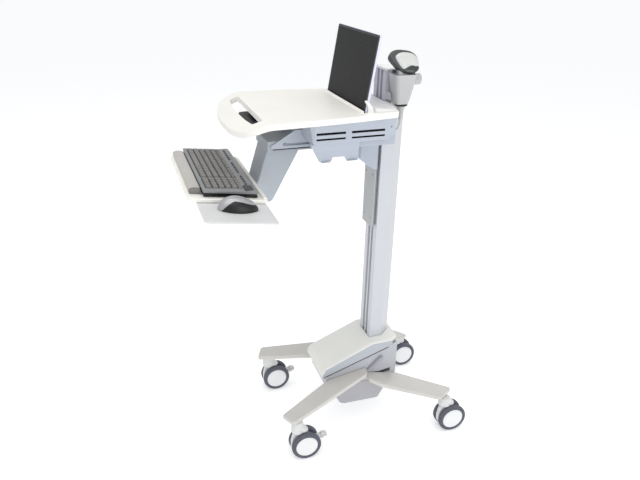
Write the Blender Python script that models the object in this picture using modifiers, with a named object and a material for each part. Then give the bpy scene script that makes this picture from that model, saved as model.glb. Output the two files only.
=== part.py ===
# Height-adjustable laptop cart for a hospital ward.
# Metres, +Z up.  +X is the user's right hand side (mouse side), the user
# stands at -Y and the column is at the back.  The cart rolls on z = 0.
import bpy
import bmesh
import math
from mathutils import Vector, Matrix

for ob in list(bpy.data.objects):
    bpy.data.objects.remove(ob, do_unlink=True)

# ----------------------------------------------------------------- dimensions
ORIGIN_X, ORIGIN_Y = 0.05525, -0.20119     # centre of the plan box, see the root empty
GAP = 0.0003                           # gap kept between touching pieces

WHEEL_R = 0.0508                       # 4 inch twin-wheel casters
WHEEL_SIDES = 24
FRONT_STEM = (0.1925, -0.353)
REAR_STEM = (0.2010, 0.187)
FRONT_TRAIL, REAR_TRAIL = 0.027, 0.0235
FRONT_NECK_TOP, REAR_NECK_TOP = 0.1520, 0.1345

LEG_T = 0.016
FRONT_LEG_TIP_Z, FRONT_LEG_SLOPE = 0.1663, 0.186
REAR_LEG_TIP_Z, REAR_LEG_SLOPE = 0.155, 0.195

HOUSING_X = 0.0780                     # half width of the base casting
HOUSING_Z0, FRAME_TOP = 0.1660, 0.2045
SEAM_Y0, SEAM_Z0, SEAM_SLOPE = -0.230, 0.2098, 0.357
COVER_X = 0.0850
COVER_TOP_FRONT, COVER_TOP_REAR = 0.2400, 0.3250

COL_X, COL_FRONT, COL_SIDE, COL_BACK = 0.0440, -0.0460, -0.0040, 0.0335
COL_TOP = 1.2350
GROOVE_IN, GROOVE_OUT, GROOVE_BOTTOM = 0.0045, 0.0200, -0.0310
CAP_T = 0.0078

WS_TOP, WS_T = 1.1480, 0.0160          # work surface
SLOT_X, SLOT_Y0, SLOT_Y1 = 0.1600, -0.4740, -0.4460
LID_SLOT_X, LID_SLOT_Y0, LID_SLOT_Y1 = 0.1640, -0.1590, -0.1365

LID_W, LID_H, LID_T, LID_TILT = 0.3165, 0.2064, 0.0070, math.radians(9.0)
LID_HINGE = (0.0, -0.1570, 1.1118)

BAY_X = 0.1600                         # inner face of the vented side panels
BAY_PANEL_T = 0.0100
BAY_Y0, BAY_Y1 = -0.3075, -0.0640
BAY_Z0, BAY_Z1 = 1.0700, 1.1317

ARM_X = 0.0550
TRAY_TILT = math.radians(7.33)
TRAY_FRAME = Matrix.Translation((0.0, -0.6200, 0.9750)) @ Matrix.Rotation(-TRAY_TILT, 4, 'X')
TRAY_PIVOT = (0.0, -0.4345, 0.8880)

CUP = (0.0880, -0.0160)                # scanner holster's centre in plan

# ------------------------------------------------------------------ materials
COLOURS = {
    "white_top": (0.86, 0.85, 0.82, 0.45, 0.0),
    "bay_paint": (0.62, 0.66, 0.72, 0.45, 0.0),
    "arm_paint": (0.48, 0.51, 0.56, 0.45, 0.0),
    "column_aluminium": (0.66, 0.67, 0.70, 0.35, 0.9),
    "steel": (0.55, 0.55, 0.56, 0.30, 1.0),
    "cover_plastic": (0.72, 0.73, 0.71, 0.50, 0.0),
    "tub_paint": (0.44, 0.44, 0.47, 0.50, 0.0),
    "leg_paint": (0.56, 0.54, 0.51, 0.40, 0.0),
    "caster_plastic": (0.66, 0.66, 0.65, 0.45, 0.0),
    "tyre_rubber": (0.09, 0.10, 0.13, 0.60, 0.0),
    "lever_black": (0.02, 0.02, 0.02, 0.50, 0.0),
    "laptop_dark": (0.05, 0.05, 0.055, 0.45, 0.0),
    "keyboard_grey": (0.22, 0.22, 0.22, 0.50, 0.0),
    "rest_grey": (0.40, 0.38, 0.35, 0.60, 0.0),
    "mouse_silver": (0.35, 0.35, 0.36, 0.35, 0.0),
    "holster_grey": (0.55, 0.55, 0.56, 0.45, 0.0),
    "scanner_grey": (0.07, 0.08, 0.075, 0.50, 0.0),
    "cable_grey": (0.55, 0.57, 0.56, 0.55, 0.0),
    "gland_black": (0.02, 0.02, 0.02, 0.60, 0.0),
}
MATS = {}
for slot, (r, g, b, rough, metal) in COLOURS.items():
    m = bpy.data.materials.new(slot)
    m.use_nodes = True
    bsdf = m.node_tree.nodes["Principled BSDF"]
    bsdf.inputs["Base Color"].default_value = (r, g, b, 1.0)
    bsdf.inputs["Roughness"].default_value = rough
    bsdf.inputs["Metallic"].default_value = metal
    MATS[slot] = m

# ---------------------------------------------------------------- collections
scene = bpy.context.scene
parts = bpy.data.collections.new("laptop_cart")
cutters = bpy.data.collections.new("cutters")
scene.collection.children.link(parts)
scene.collection.children.link(cutters)

root = bpy.data.objects.new("cart_origin", None)
root.location = (-ORIGIN_X, -ORIGIN_Y, 0.0)
parts.objects.link(root)
PIVOTS = {"base": (root, Vector((0, 0, 0)))}


def pivot(name, point, parent="base"):
    """An empty on a joint's axis; the moving body's pieces hang from it."""
    up, up_at = PIVOTS[parent]
    e = bpy.data.objects.new("pivot_" + name, None)
    e.parent = up
    e.location = Vector(point) - up_at
    e.empty_display_size = 0.02
    parts.objects.link(e)
    PIVOTS[name] = (e, Vector(point))


# -------------------------------------------------------------------- helpers
def place(mesh, name, slot, body, matrix=None, cutter=False):
    """Puts a mesh made in cart coordinates on its body's pivot."""
    if matrix is not None:
        mesh.transform(matrix)
    empty, at = PIVOTS[body]
    ob = bpy.data.objects.new(name, mesh)
    ob.parent = empty
    ob.location = -at
    if cutter:
        ob.hide_render = True
        ob.display_type = 'WIRE'
        cutters.objects.link(ob)
    else:
        mesh.materials.clear()
        mesh.materials.append(MATS[slot])
        parts.objects.link(ob)
    return ob


def finish(bm, name):
    bmesh.ops.recalc_face_normals(bm, faces=bm.faces[:])
    mesh = bpy.data.meshes.new(name)
    bm.to_mesh(mesh)
    bm.free()
    return mesh


def bevel(ob, width, segments=2, angle=35.0):
    m = ob.modifiers.new("bevel", 'BEVEL')
    m.width = width
    m.segments = segments
    m.limit_method = 'ANGLE'
    m.angle_limit = math.radians(angle)
    return ob


def boolean(ob, tool, operation='DIFFERENCE'):
    m = ob.modifiers.new(operation.lower(), 'BOOLEAN')
    m.operation = operation
    m.object = tool
    return ob


def box_mesh(name, lo, hi):
    bm = bmesh.new()
    bmesh.ops.create_cube(bm, size=1.0)
    size = [hi[i] - lo[i] for i in range(3)]
    mid = [(hi[i] + lo[i]) / 2 for i in range(3)]
    bmesh.ops.scale(bm, vec=size, verts=bm.verts[:])
    bmesh.ops.translate(bm, vec=mid, verts=bm.verts[:])
    return finish(bm, name)


def box(name, lo, hi, slot, body="base", edge=0.0, seg=2, matrix=None):
    ob = place(box_mesh(name, lo, hi), name, slot, body, matrix)
    if edge:
        bevel(ob, edge, seg)
    return ob


def box_cutter(lo, hi, body="base", matrix=None, name="cut_box", edge=0.0, seg=3):
    ob = place(box_mesh(name, lo, hi), name, None, body, matrix, cutter=True)
    if edge:
        bevel(ob, edge, seg)
    return ob


AXES = {
    "XY": Matrix.Identity(3),
    "YZ": Matrix(((0, 0, 1), (1, 0, 0), (0, 1, 0))),
    "XZ": Matrix(((1, 0, 0), (0, 0, -1), (0, 1, 0))),
}


def outline_mesh(name, points, plane, lo, hi):
    """A flat outline drawn as a 2D curve, extruded from lo to hi."""
    cu = bpy.data.curves.new(name, 'CURVE')
    cu.dimensions = '2D'
    cu.fill_mode = 'BOTH'
    cu.extrude = (hi - lo) / 2
    sp = cu.splines.new('POLY')
    sp.points.add(len(points) - 1)
    for p, (u, v) in zip(sp.points, points):
        p.co = (u, v, 0.0, 1.0)
    sp.use_cyclic_u = True
    tmp = bpy.data.objects.new(name + "_curve", cu)
    scene.collection.objects.link(tmp)
    bpy.context.view_layer.update()
    mesh = bpy.data.meshes.new_from_object(tmp.evaluated_get(bpy.context.evaluated_depsgraph_get()))
    bpy.data.objects.remove(tmp, do_unlink=True)
    bm = bmesh.new()
    bm.from_mesh(mesh)
    bmesh.ops.remove_doubles(bm, verts=bm.verts[:], dist=0.00002)
    bmesh.ops.dissolve_limit(bm, angle_limit=math.radians(0.05), verts=bm.verts[:], edges=bm.edges[:])
    bmesh.ops.recalc_face_normals(bm, faces=bm.faces[:])
    bm.to_mesh(mesh)
    bm.free()
    shift = {"XY": (0, 0, 1), "YZ": (1, 0, 0), "XZ": (0, 1, 0)}[plane]
    mid = (lo + hi) / 2
    mesh.transform(Matrix.Translation([c * mid for c in shift]) @ AXES[plane].to_4x4())
    return mesh


def outline(name, points, plane, lo, hi, slot, body="base", edge=0.0, seg=2, matrix=None):
    ob = place(outline_mesh(name, points, plane, lo, hi), name, slot, body, matrix)
    if edge:
        bevel(ob, edge, seg)
    return ob


def outline_cutter(points, plane, lo, hi, body="base", matrix=None, name="cut_outline"):
    return place(outline_mesh(name, points, plane, lo, hi), name, None, body, matrix, cutter=True)


def rod_mesh(name, a, b, r1, r2=None, sides=20):
    a, b = Vector(a), Vector(b)
    bm = bmesh.new()
    bmesh.ops.create_cone(bm, cap_ends=True, segments=sides, radius1=r1,
                          radius2=r1 if r2 is None else r2, depth=(b - a).length)
    turn = Vector((0, 0, 1)).rotation_difference((b - a).normalized()).to_matrix().to_4x4()
    bmesh.ops.transform(bm, matrix=Matrix.Translation((a + b) / 2) @ turn, verts=bm.verts[:])
    return finish(bm, name)


def rod(name, a, b, r, slot, body="base", sides=20, r2=None):
    return place(rod_mesh(name, a, b, r, r2, sides), name, slot, body)


def rod_cutter(a, b, r, body="base", sides=20, name="cut_rod", r2=None):
    return place(rod_mesh(name, a, b, r, r2, sides), name, None, body, cutter=True)


def turned(name, profile, slot, body, at, turn, sides):
    """A profile of (radius, height) pairs turned about its own Z."""
    mesh = bpy.data.meshes.new(name)
    mesh.from_pydata([(r, 0.0, h) for r, h in profile],
                     [(i, i + 1) for i in range(len(profile) - 1)], [])
    ob = place(mesh, name, slot, body)
    ob.location = Vector(at) - PIVOTS[body][1]
    ob.rotation_euler = turn.to_euler()
    m = ob.modifiers.new("turn", 'SCREW')
    m.steps = sides
    m.render_steps = sides
    m.angle = math.tau
    m.axis = 'Z'
    m.use_merge_vertices = True
    m.merge_threshold = 0.00005
    return ob


def loft(name, rings, slot, body="base", cutter=False):
    """Skin over closed rings of equal point counts, capped at both ends."""
    bm = bmesh.new()
    loops = [[bm.verts.new(p) for p in ring] for ring in rings]
    n = len(loops[0])
    for a, b in zip(loops, loops[1:]):
        for i in range(n):
            bm.faces.new((a[i], a[(i + 1) % n], b[(i + 1) % n], b[i]))
    bm.faces.new(list(reversed(loops[0])))
    bm.faces.new(loops[-1])
    return place(finish(bm, name), name, slot, body, cutter=cutter)


def rounded(points, radii, seg=4):
    """Outline with its corners replaced by arcs."""
    out = []
    n = len(points)
    for i in range(n):
        p = Vector(points[i])
        r = radii[i] if isinstance(radii, (list, tuple)) else radii
        if r <= 0:
            out.append((p.x, p.y))
            continue
        a = (Vector(points[i - 1]) - p).normalized()
        b = (Vector(points[(i + 1) % n]) - p).normalized()
        half = a.angle(b) / 2
        d = r / math.tan(half)
        centre = p + (a + b).normalized() * (r / math.sin(half))
        s = p + a * d - centre
        e = p + b * d - centre
        sweep = math.atan2(s.x * e.y - s.y * e.x, s.dot(e))
        for k in range(seg + 1):
            t = sweep * k / seg
            c, q = math.cos(t), math.sin(t)
            out.append((centre.x + s.x * c - s.y * q, centre.y + s.x * q + s.y * c))
    return out


def mirror_x(points):
    """Completes a half outline given from the plane x = 0 at one end to the other."""
    return list(points) + [(-u, v) for u, v in reversed(points) if abs(u) > 1e-6]


def rect(lo, hi, r, seg=4):
    return rounded([(lo[0], lo[1]), (hi[0], lo[1]), (hi[0], hi[1]), (lo[0], hi[1])], r, seg)


# --------------------------------------------------------------------- pivots
pivot("head", (0.0, -0.0510, WS_TOP))
pivot("lift_lever", (0.0, -0.4370, 1.1120), "head")
pivot("lid", LID_HINGE, "head")
pivot("arm", (0.0, -0.3620, 1.0500), "head")
pivot("tray", TRAY_PIVOT, "arm")
pivot("mouse_tray", tuple(TRAY_FRAME @ Vector((0.2, 0.075, -0.0295))), "tray")
pivot("knob", (0.0620, 0.0400, 1.2130), "head")
pivot("scanner", (CUP[0], CUP[1], 1.1800), "head")
pivot("trigger", (CUP[0], -0.0400, 1.2520), "scanner")

# ----------------------------------------------------------------------- legs
FRONT_LEG = [(HOUSING_X + GAP, -0.2080), (0.0950, -0.2440), (0.1675, -0.3925), (0.1730, -0.3970),
             (0.2185, -0.3765), (0.2205, -0.3680), (0.1120, -0.0740), (HOUSING_X + GAP, -0.0680)]
REAR_LEG = [(HOUSING_X + GAP, -0.0660), (0.1180, -0.0700), (0.1500, -0.0380), (0.2260, 0.1420),
            (0.2250, 0.1560), (0.1830, 0.2140), (0.1730, 0.2160), (HOUSING_X + GAP, 0.0440)]


def leg(name, plan, side, front):
    tip_z, slope, tip_y = ((FRONT_LEG_TIP_Z, FRONT_LEG_SLOPE, -0.378) if front
                           else (REAR_LEG_TIP_Z, REAR_LEG_SLOPE, 0.180))
    pts = [(side * u, v) for u, v in plan]
    mesh = outline_mesh(name, pts, "XY", -LEG_T, 0.0)
    for v in mesh.vertices:
        away = (v.co.y - tip_y) if front else (tip_y - v.co.y)
        v.co.z += tip_z + slope * away
    ob = place(mesh, name, "leg_paint", "base")
    return bevel(ob, 0.0030, 2, 40.0)


leg("leg_front_right", FRONT_LEG, 1, True)
leg("leg_front_left", FRONT_LEG, -1, True)
leg("leg_rear_right", REAR_LEG, 1, False)
leg("leg_rear_left", REAR_LEG, -1, False)


# ----------------------------------------------------------------------- base
def seam(y):
    return SEAM_Z0 + (y - SEAM_Y0) * SEAM_SLOPE


# The casting that the legs bolt to: a box with a sloping open top.
side = [(-0.2150, HOUSING_Z0), (0.0480, HOUSING_Z0), (0.0480, seam(0.0480) - 0.0008),
        (-0.2150, seam(-0.2150) - 0.0008)]
housing = outline("base_housing", side, "YZ", -HOUSING_X, HOUSING_X, "cover_plastic")
boolean(housing, box_cutter((-0.0720, -0.2070, FRAME_TOP), (0.0720, 0.0420, 0.4000)))

# The top cover, a shell that is open below, with a hole for the column.
cover_side = [(-0.2300, seam(-0.2300)), (0.0500, seam(0.0500)), (0.0480, COVER_TOP_REAR),
              (-0.0480, COVER_TOP_REAR - 0.0030), (-0.2220, COVER_TOP_FRONT + 0.0030),
              (-0.2310, COVER_TOP_FRONT - 0.0070)]
cover = outline("base_cover", cover_side, "YZ", -COVER_X, COVER_X, "cover_plastic")
bevel(cover, 0.0060, 2, 50.0)
inner = [(-0.2270, seam(-0.2270) - 0.0400), (0.0455, seam(0.0455) - 0.0400), (0.0440, COVER_TOP_REAR - 0.0050),
         (-0.0480, COVER_TOP_REAR - 0.0085), (-0.2200, COVER_TOP_FRONT - 0.0040)]
boolean(cover, outline_cutter(inner, "YZ", -COVER_X + 0.0035, COVER_X - 0.0035))


def column_plan(grow, grooves=True):
    gx, gb = COL_X + grow, COL_FRONT - grow
    k = 0.0120 + grow * 0.4
    pts = [(0.0, gb)]
    if grooves:
        pts = [(GROOVE_IN, gb), (GROOVE_IN, GROOVE_BOTTOM), (GROOVE_OUT, GROOVE_BOTTOM), (GROOVE_OUT, gb)]
    pts += [(gx, gb), (gx, COL_SIDE + grow * 0.4), (k, COL_BACK + grow)]
    return [(u, v) for u, v in pts] + [(-u, v) for u, v in reversed(pts) if u > 0]


boolean(cover, outline_cutter(column_plan(0.0010, False), "XY", 0.2500, 0.4000))
# Rear corners of the cover and casting are cut off at an angle.
for sx in (1, -1):
    corner = [(sx * 0.0400, 0.0520), (sx * 0.0400, 0.0700), (sx * 0.1000, 0.0700), (sx * 0.1000, 0.0150),
              (sx * 0.0860, 0.0150)]
    cut = outline_cutter(corner, "XY", 0.2000, 0.4000)
    boolean(cover, cut)

tub_lo, tub_hi = 0.0760, HOUSING_Z0 - GAP
loft("base_tub", [
    [(x, y, tub_lo) for x, y in rect((-0.0630, -0.1460), (0.0630, -0.0100), 0.0120, 3)],
    [(x, y, tub_lo + 0.0060) for x, y in rect((-0.0680, -0.1520), (0.0680, -0.0040), 0.0140, 3)],
    [(x, y, tub_hi) for x, y in rect((-0.0775, -0.2050), (0.0775, 0.0400), 0.0160, 3)],
], "tub_paint")

clip_pts = [(-0.0655, 0.2150), (-0.0600, 0.2110), (-0.0060, 0.2550), (-0.0100, 0.2640), (-0.0180, 0.2620)]
outline("side_clip", clip_pts, "YZ", COVER_X + GAP - 0.0066, COVER_X + 0.0060, "arm_paint", edge=0.0008, seg=1)

# --------------------------------------------------------------------- column
column = outline("column", column_plan(0.0), "XY", FRAME_TOP + GAP, COL_TOP, "column_aluminium")
boolean(column, box_cutter((-0.0280, -0.0265, 0.1000), (0.0280, 0.0110, 1.4000)))
outline("column_cap", column_plan(0.0004, False), "XY", COL_TOP + GAP, COL_TOP + GAP + CAP_T,
        "cover_plastic", edge=0.0015, seg=1)
turned("lift_spring", [(0.0, 1.0900), (0.0045, 1.0900), (0.0045, 0.7200), (0.0115, 0.7150), (0.0115, 0.2052),
                       (0.0, 0.2052)], "steel", "base", (0.0, -0.0078, 0.0), Matrix.Identity(3), 16)


# -------------------------------------------------------------------- casters
def caster(tag, x, y, trail, neck_top, front):
    swivel, roll, pedal = "swivel_" + tag, "wheels_" + tag, "brake_" + tag
    pivot(swivel, (x, y, 0.1000))
    yw = y + trail
    pivot(roll, (x, yw, WHEEL_R), swivel)
    shell = [(-0.0470, 0.0350), (-0.0120, 0.0320), (0.0060, 0.0340), (0.0135, 0.0440), (0.0135, 0.0700),
             (0.0060, 0.0950), (-0.0020, 0.1045), (-0.0330, 0.1045), (-0.0430, 0.0880), (-0.0480, 0.0620)]
    body = outline("caster_%s_housing" % tag, [(yw + u, v) for u, v in shell], "YZ", x - 0.0080, x + 0.0080,
                   "caster_plastic", swivel)
    cowl = place(rod_mesh("join_cowl", (x, y, 0.1025), (x, y, 0.1170), 0.0185, 0.0130, 20), "join_cowl",
                 None, swivel, cutter=True)
    neck = rod_cutter((x, y, 0.1100), (x, y, neck_top), 0.0125, swivel, 20, "join_neck")
    boolean(body, cowl, 'UNION')
    boolean(body, neck, 'UNION')
    boolean(body, rod_cutter((x - 0.02, yw, WHEEL_R), (x + 0.02, yw, WHEEL_R), 0.0043, swivel, 12))
    rod("caster_%s_axle" % tag, (x - 0.0222, yw, WHEEL_R), (x + 0.0222, yw, WHEEL_R), 0.0040, "steel", roll, 12)
    flat = 1.0 / math.cos(math.pi / WHEEL_SIDES)
    prof = [(0.0, 0.0280), (0.0350, 0.0272), (0.0378, 0.0285), (0.0460, 0.0285), (WHEEL_R * flat, 0.0245),
            (WHEEL_R * flat, 0.0135), (0.0460, 0.0095), (0.0043, 0.0095), (0.0043, 0.0225), (0.0, 0.0225)]
    step = Matrix.Rotation(math.pi / WHEEL_SIDES, 3, 'Z')
    turned("caster_%s_wheel_right" % tag, prof, "tyre_rubber", roll, (x, yw, WHEEL_R),
           Matrix.Rotation(math.pi / 2, 3, 'Y') @ step, WHEEL_SIDES)
    turned("caster_%s_wheel_left" % tag, prof, "tyre_rubber", roll, (x, yw, WHEEL_R),
           Matrix.Rotation(-math.pi / 2, 3, 'Y') @ step, WHEEL_SIDES)
    if front:
        pivot(pedal, (x, yw + 0.0200, 0.0640), swivel)
        side = [(0.0165, 0.0600), (0.0500, 0.0600), (0.0550, 0.0560), (0.0620, 0.0560), (0.0760, 0.0650),
                (0.0770, 0.0720), (0.0580, 0.0780), (0.0520, 0.0720), (0.0165, 0.0680)]
        arm = outline("caster_%s_brake_pedal" % tag, [(yw + u, v) for u, v in side], "YZ", x - 0.0072, x + 0.0072,
                      "caster_plastic", pedal)
        pad = place(box_mesh("join_pad", (x - 0.0125, yw + 0.0560, 0.0660), (x + 0.0125, yw + 0.0750, 0.0715)),
                    "join_pad", None, pedal, cutter=True)
        boolean(arm, pad, 'UNION')


caster("front_right", FRONT_STEM[0], FRONT_STEM[1], FRONT_TRAIL, FRONT_NECK_TOP, True)
caster("front_left", -FRONT_STEM[0], FRONT_STEM[1], FRONT_TRAIL, FRONT_NECK_TOP, True)
caster("rear_right", REAR_STEM[0], REAR_STEM[1], REAR_TRAIL, REAR_NECK_TOP, False)
caster("rear_left", -REAR_STEM[0], REAR_STEM[1], REAR_TRAIL, REAR_NECK_TOP, False)

# ----------------------------------------------------- head: slide and bracket
CAR_F, CAR_B = -0.0560, -0.0472
half = [(0.0065, CAR_B), (0.0065, -0.0340), (0.0180, -0.0340), (0.0180, CAR_B), (0.0300, CAR_B), (0.0300, CAR_F)]
outline("carriage", half + [(-u, v) for u, v in reversed(half)], "XY", 0.7450, 1.0550, "column_aluminium", "head")
box("carriage_cover", (-0.0400, -0.0615, 0.7400), (0.0400, CAR_F - GAP, 0.9385), "arm_paint", "head", 0.0012, 1)
gusset = [(CAR_F - GAP, 0.9390), (-0.0665, 0.9390), (-0.0855, 0.9510), (-0.1120, 0.9740), (-0.1135, 0.9780),
          (-0.1135, 1.0497), (CAR_F - GAP, 1.0497)]
gusset_ob = outline("head_bracket", gusset, "YZ", -0.0450, 0.0450, "arm_paint", "head", 0.0015, 1)
gusset_inner = [(-0.0520, 0.9430), (-0.0675, 0.9430), (-0.0840, 0.9540), (-0.1092, 0.9760), (-0.1100, 0.9780),
                (-0.1100, 1.0450), (-0.0520, 1.0450)]
boolean(gusset_ob, outline_cutter(gusset_inner, "YZ", -0.0410, 0.0410, "head"))
bay = box("bay_bracket", (-0.1550, -0.1780, 1.0500), (0.1550, CAR_F - GAP, 1.0905), "bay_paint", "head", 0.0020, 1)
for x0, x1 in ((-0.1515, -0.0480), (-0.0415, 0.0415), (0.0480, 0.1515)):
    boolean(bay, box_cutter((x0, -0.1740, 1.0000), (x1, -0.0620, 1.0865), "head"))

# --------------------------------------------------------------- work surface
ws_half = [(0.0, -0.5270), (0.0450, -0.5262), (0.0850, -0.5235), (0.1200, -0.5190), (0.1500, -0.5125),
           (0.1720, -0.5050), (0.1880, -0.4955), (0.2000, -0.4830), (0.2085, -0.4680), (0.2130, -0.4500),
           (0.2150, -0.4300), (0.2145, -0.4050), (0.2120, -0.3700), (0.2080, -0.3150), (0.2025, -0.2550),
           (0.1965, -0.2000), (0.1895, -0.1500), (0.1805, -0.0950), (0.1780, -0.0730), (0.1750, -0.0630),
           (0.1700, -0.0584), (0.0455, -0.0315), (0.0455, -0.0485)]
# The front of the worksurface bends down into a handle.
ws = outline("worksurface", mirror_x(ws_half), "XY", 1.0500, 1.2500, "white_top", "head")
ws_line = [(-0.6000, -0.0670), (-0.5200, -0.0330), (-0.4950, -0.0206), (-0.4750, -0.0124), (-0.4580, -0.0058),
           (-0.4420, -0.0014), (-0.4280, 0.0), (0.1, 0.0)]
ws_side = [(u, WS_TOP - WS_T + v) for u, v in ws_line] + [(u, WS_TOP + v) for u, v in reversed(ws_line)]
boolean(ws, outline_cutter(ws_side, "YZ", -0.3, 0.3, "head"), 'INTERSECT')
bevel(ws, 0.0030, 2, 60.0)
slot_plan = rounded([(-SLOT_X, SLOT_Y1), (-SLOT_X + 0.0060, SLOT_Y0), (-0.0900, SLOT_Y0 - 0.0055),
                     (0.0, SLOT_Y0 - 0.0075), (0.0900, SLOT_Y0 - 0.0055), (SLOT_X - 0.0060, SLOT_Y0),
                     (SLOT_X, SLOT_Y1)], [0.0070, 0.0080, 0.0, 0.0, 0.0, 0.0080, 0.0070], 4)
boolean(ws, outline_cutter(slot_plan, "XY", 1.0, 1.3, "head"))
boolean(ws, box_cutter((-LID_SLOT_X, LID_SLOT_Y0, 1.0), (LID_SLOT_X, LID_SLOT_Y1, 1.3), "head"))
bead = [(-0.1655, 1.1400), (-0.1655, 1.1485), (-0.1640, 1.1515), (-0.1620, 1.1528), (-0.1600, 1.1528),
        (LID_SLOT_Y0, 1.1518), (LID_SLOT_Y0, 1.1400)]
boolean(ws, outline_cutter(bead, "YZ", -0.1600, 0.1600, "head"), 'UNION')

rc_half = [(0.0, -0.1310), (0.1560, -0.1310), (0.1660, -0.1250), (0.1690, -0.0780), (0.1640, -0.0660),
           (0.0530, -0.0420), (0.0530, -0.0500)]
rear_cover = outline("rear_cover", mirror_x(rc_half), "XY", 1.1000, 1.2000, "white_top", "head")
rc_side = [(-0.1400, WS_TOP + GAP), (0.0, WS_TOP + GAP), (0.0, WS_TOP + 0.0020), (-0.0400, WS_TOP + 0.0020),
           (-0.1150, WS_TOP + 0.0100), (-0.1400, WS_TOP + 0.0120)]
boolean(rear_cover, outline_cutter(rc_side, "YZ", -0.3, 0.3, "head"), 'INTERSECT')

# ------------------------------------------------------------ lift release
box("lever_housing", (-0.0820, -0.4280, 1.0990), (0.0820, -0.4080, WS_TOP - WS_T - GAP), "lever_black", "head",
    0.0015, 1)
lever_side = [(-0.4620, 1.1040), (-0.4560, 1.1020), (-0.4300, 1.1050), (-0.4290, 1.1160), (-0.4400, 1.1175),
              (-0.4600, 1.1165), (-0.4630, 1.1130)]
outline("lift_lever", lever_side, "YZ", -0.0780, 0.0780, "lever_black", "lift_lever", 0.0012, 1)


# ----------------------------------------------------------------- laptop bay
def bay_side(name, sx):
    lo, hi = sorted((sx * BAY_X, sx * (BAY_X + BAY_PANEL_T)))
    side = [(BAY_Y0 - 0.0095, BAY_Z1), (BAY_Y0, BAY_Z0), (-0.0840, BAY_Z0), (-0.0780, 1.0815), (BAY_Y1, 1.0815),
            (BAY_Y1, BAY_Z1)]
    panel = outline(name, side, "YZ", lo, hi, "bay_paint", "head")
    # The bay's front wall, in two halves, passes over the arm's channel.
    for x0, x1, z0 in ((0.0765, BAY_X + 0.0050, BAY_Z0), (0.0003, 0.0800, 1.0912)):
        a, b = sorted((sx * x0, sx * x1))
        boolean(panel, place(box_mesh("join_front", (a, BAY_Y0, z0), (b, BAY_Y0 + 0.0040, 1.1180)), "join_front",
                             None, "head", cutter=True), 'UNION')
    for z0, z1 in ((1.0956, 1.1024), (1.0808, 1.0862)):
        for y0, y1 in ((-0.2990, -0.2135), (-0.1960, -0.0965)):
            boolean(panel, box_cutter((lo - 0.01, y0, z0), (hi + 0.01, y1, z1), "head"))
    return panel


bay_side("bay_side_right", 1)
bay_side("bay_side_left", -1)
box("laptop_tray", (-0.1594, -0.3020, 1.0908), (0.1594, -0.0800, 1.0944), "bay_paint", "head", 0.0010, 1)
box("laptop_base", (-0.1580, -0.3010, 1.0950), (0.1580, -0.1500, 1.1104), "laptop_dark", "head", 0.0030, 2)

lid_frame = Matrix.Translation((0.0, -0.1550, WS_TOP)) @ Matrix.Rotation(-LID_TILT, 4, 'X')
lid = outline("laptop_lid", rect((-LID_W / 2, -0.0350), (LID_W / 2, LID_H), 0.0060, 3), "XZ", 0.0, LID_T,
              "laptop_dark", "lid", 0.0010, 1, lid_frame)

# ---------------------------------------------- keyboard arm and its channel
cheek = [(-0.4010, 1.0385), (-0.2380, 1.0385), (-0.2380, 1.0904), (-0.3300, 1.0904), (-0.4030, 1.0480)]
channel = outline("arm_channel", cheek, "YZ", -0.0750, 0.0750, "arm_paint", "head")
boolean(channel, box_cutter((-0.0715, -0.5000, 1.0000), (0.0715, -0.1000, 1.0866), "head"))
slot_side = rect((-0.3660, 1.0466), (-0.2690, 1.0534), 0.0033, 3)
boolean(channel, outline_cutter(slot_side, "YZ", -0.1, 0.1, "head"))

arm_side = [(-0.4100, 1.0340), (-0.4565, 0.8780), (-0.4500, 0.8720), (-0.4000, 0.8720), (-0.3930, 0.8780),
            (-0.3085, 1.0340)]
arm = outline("keyboard_arm", arm_side, "YZ", -ARM_X, ARM_X, "arm_paint", "arm", 0.0040, 2)
boolean(arm, place(box_mesh("join_runner", (-0.0700, -0.4115, 1.0300), (0.0700, -0.3070, 1.0600)), "join_runner",
                   None, "arm", cutter=True), 'UNION')
# The arm is a bent sheet box that is open at its back.
arm_inner = [(-0.4010, 1.0560), (-0.4065, 1.0331), (-0.4525, 0.8787), (-0.4480, 0.8750), (-0.3800, 0.8750),
             (-0.2900, 0.9900), (-0.2900, 1.0270), (-0.3150, 1.0270), (-0.3150, 1.0560)]
boolean(arm, outline_cutter(arm_inner, "YZ", -0.0510, 0.0510, "arm"))
for a, b in ((0.0560, 0.0700), (-0.0700, -0.0560)):
    boolean(arm, place(box_mesh("join_rail_end", (a, -0.3100, 1.0300), (b, -0.2680, 1.0600)), "join_rail_end", None,
                       "arm", cutter=True), 'UNION')
boolean(arm, rod_cutter((-0.2, -0.3620, 1.0500), (0.2, -0.3620, 1.0500), 0.0030, "arm", 16))
boolean(arm, rod_cutter((-0.2, TRAY_PIVOT[1], TRAY_PIVOT[2]), (0.2, TRAY_PIVOT[1], TRAY_PIVOT[2]), 0.0043, "arm", 16))
rod("arm_guide_pin", (-0.0785, -0.3620, 1.0500), (0.0785, -0.3620, 1.0500), 0.0027, "steel", "arm", 12)
rod("tray_hinge_pin", (-0.0605, TRAY_PIVOT[1], TRAY_PIVOT[2]), (0.0605, TRAY_PIVOT[1], TRAY_PIVOT[2]), 0.0040,
    "steel", "arm", 16)

# -------------------------------------------------- keyboard tray, tilted back
tray_plan = rounded([(-0.2050, -0.0410), (0.2060, -0.0410), (0.2060, 0.1810), (-0.2050, 0.1810)],
                    [0.0300, 0.0300, 0.0180, 0.0180], 5)
outline("keyboard_tray", tray_plan, "XY", -0.0262, -0.0150, "white_top", "tray", 0.0025, 2, TRAY_FRAME)

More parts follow.
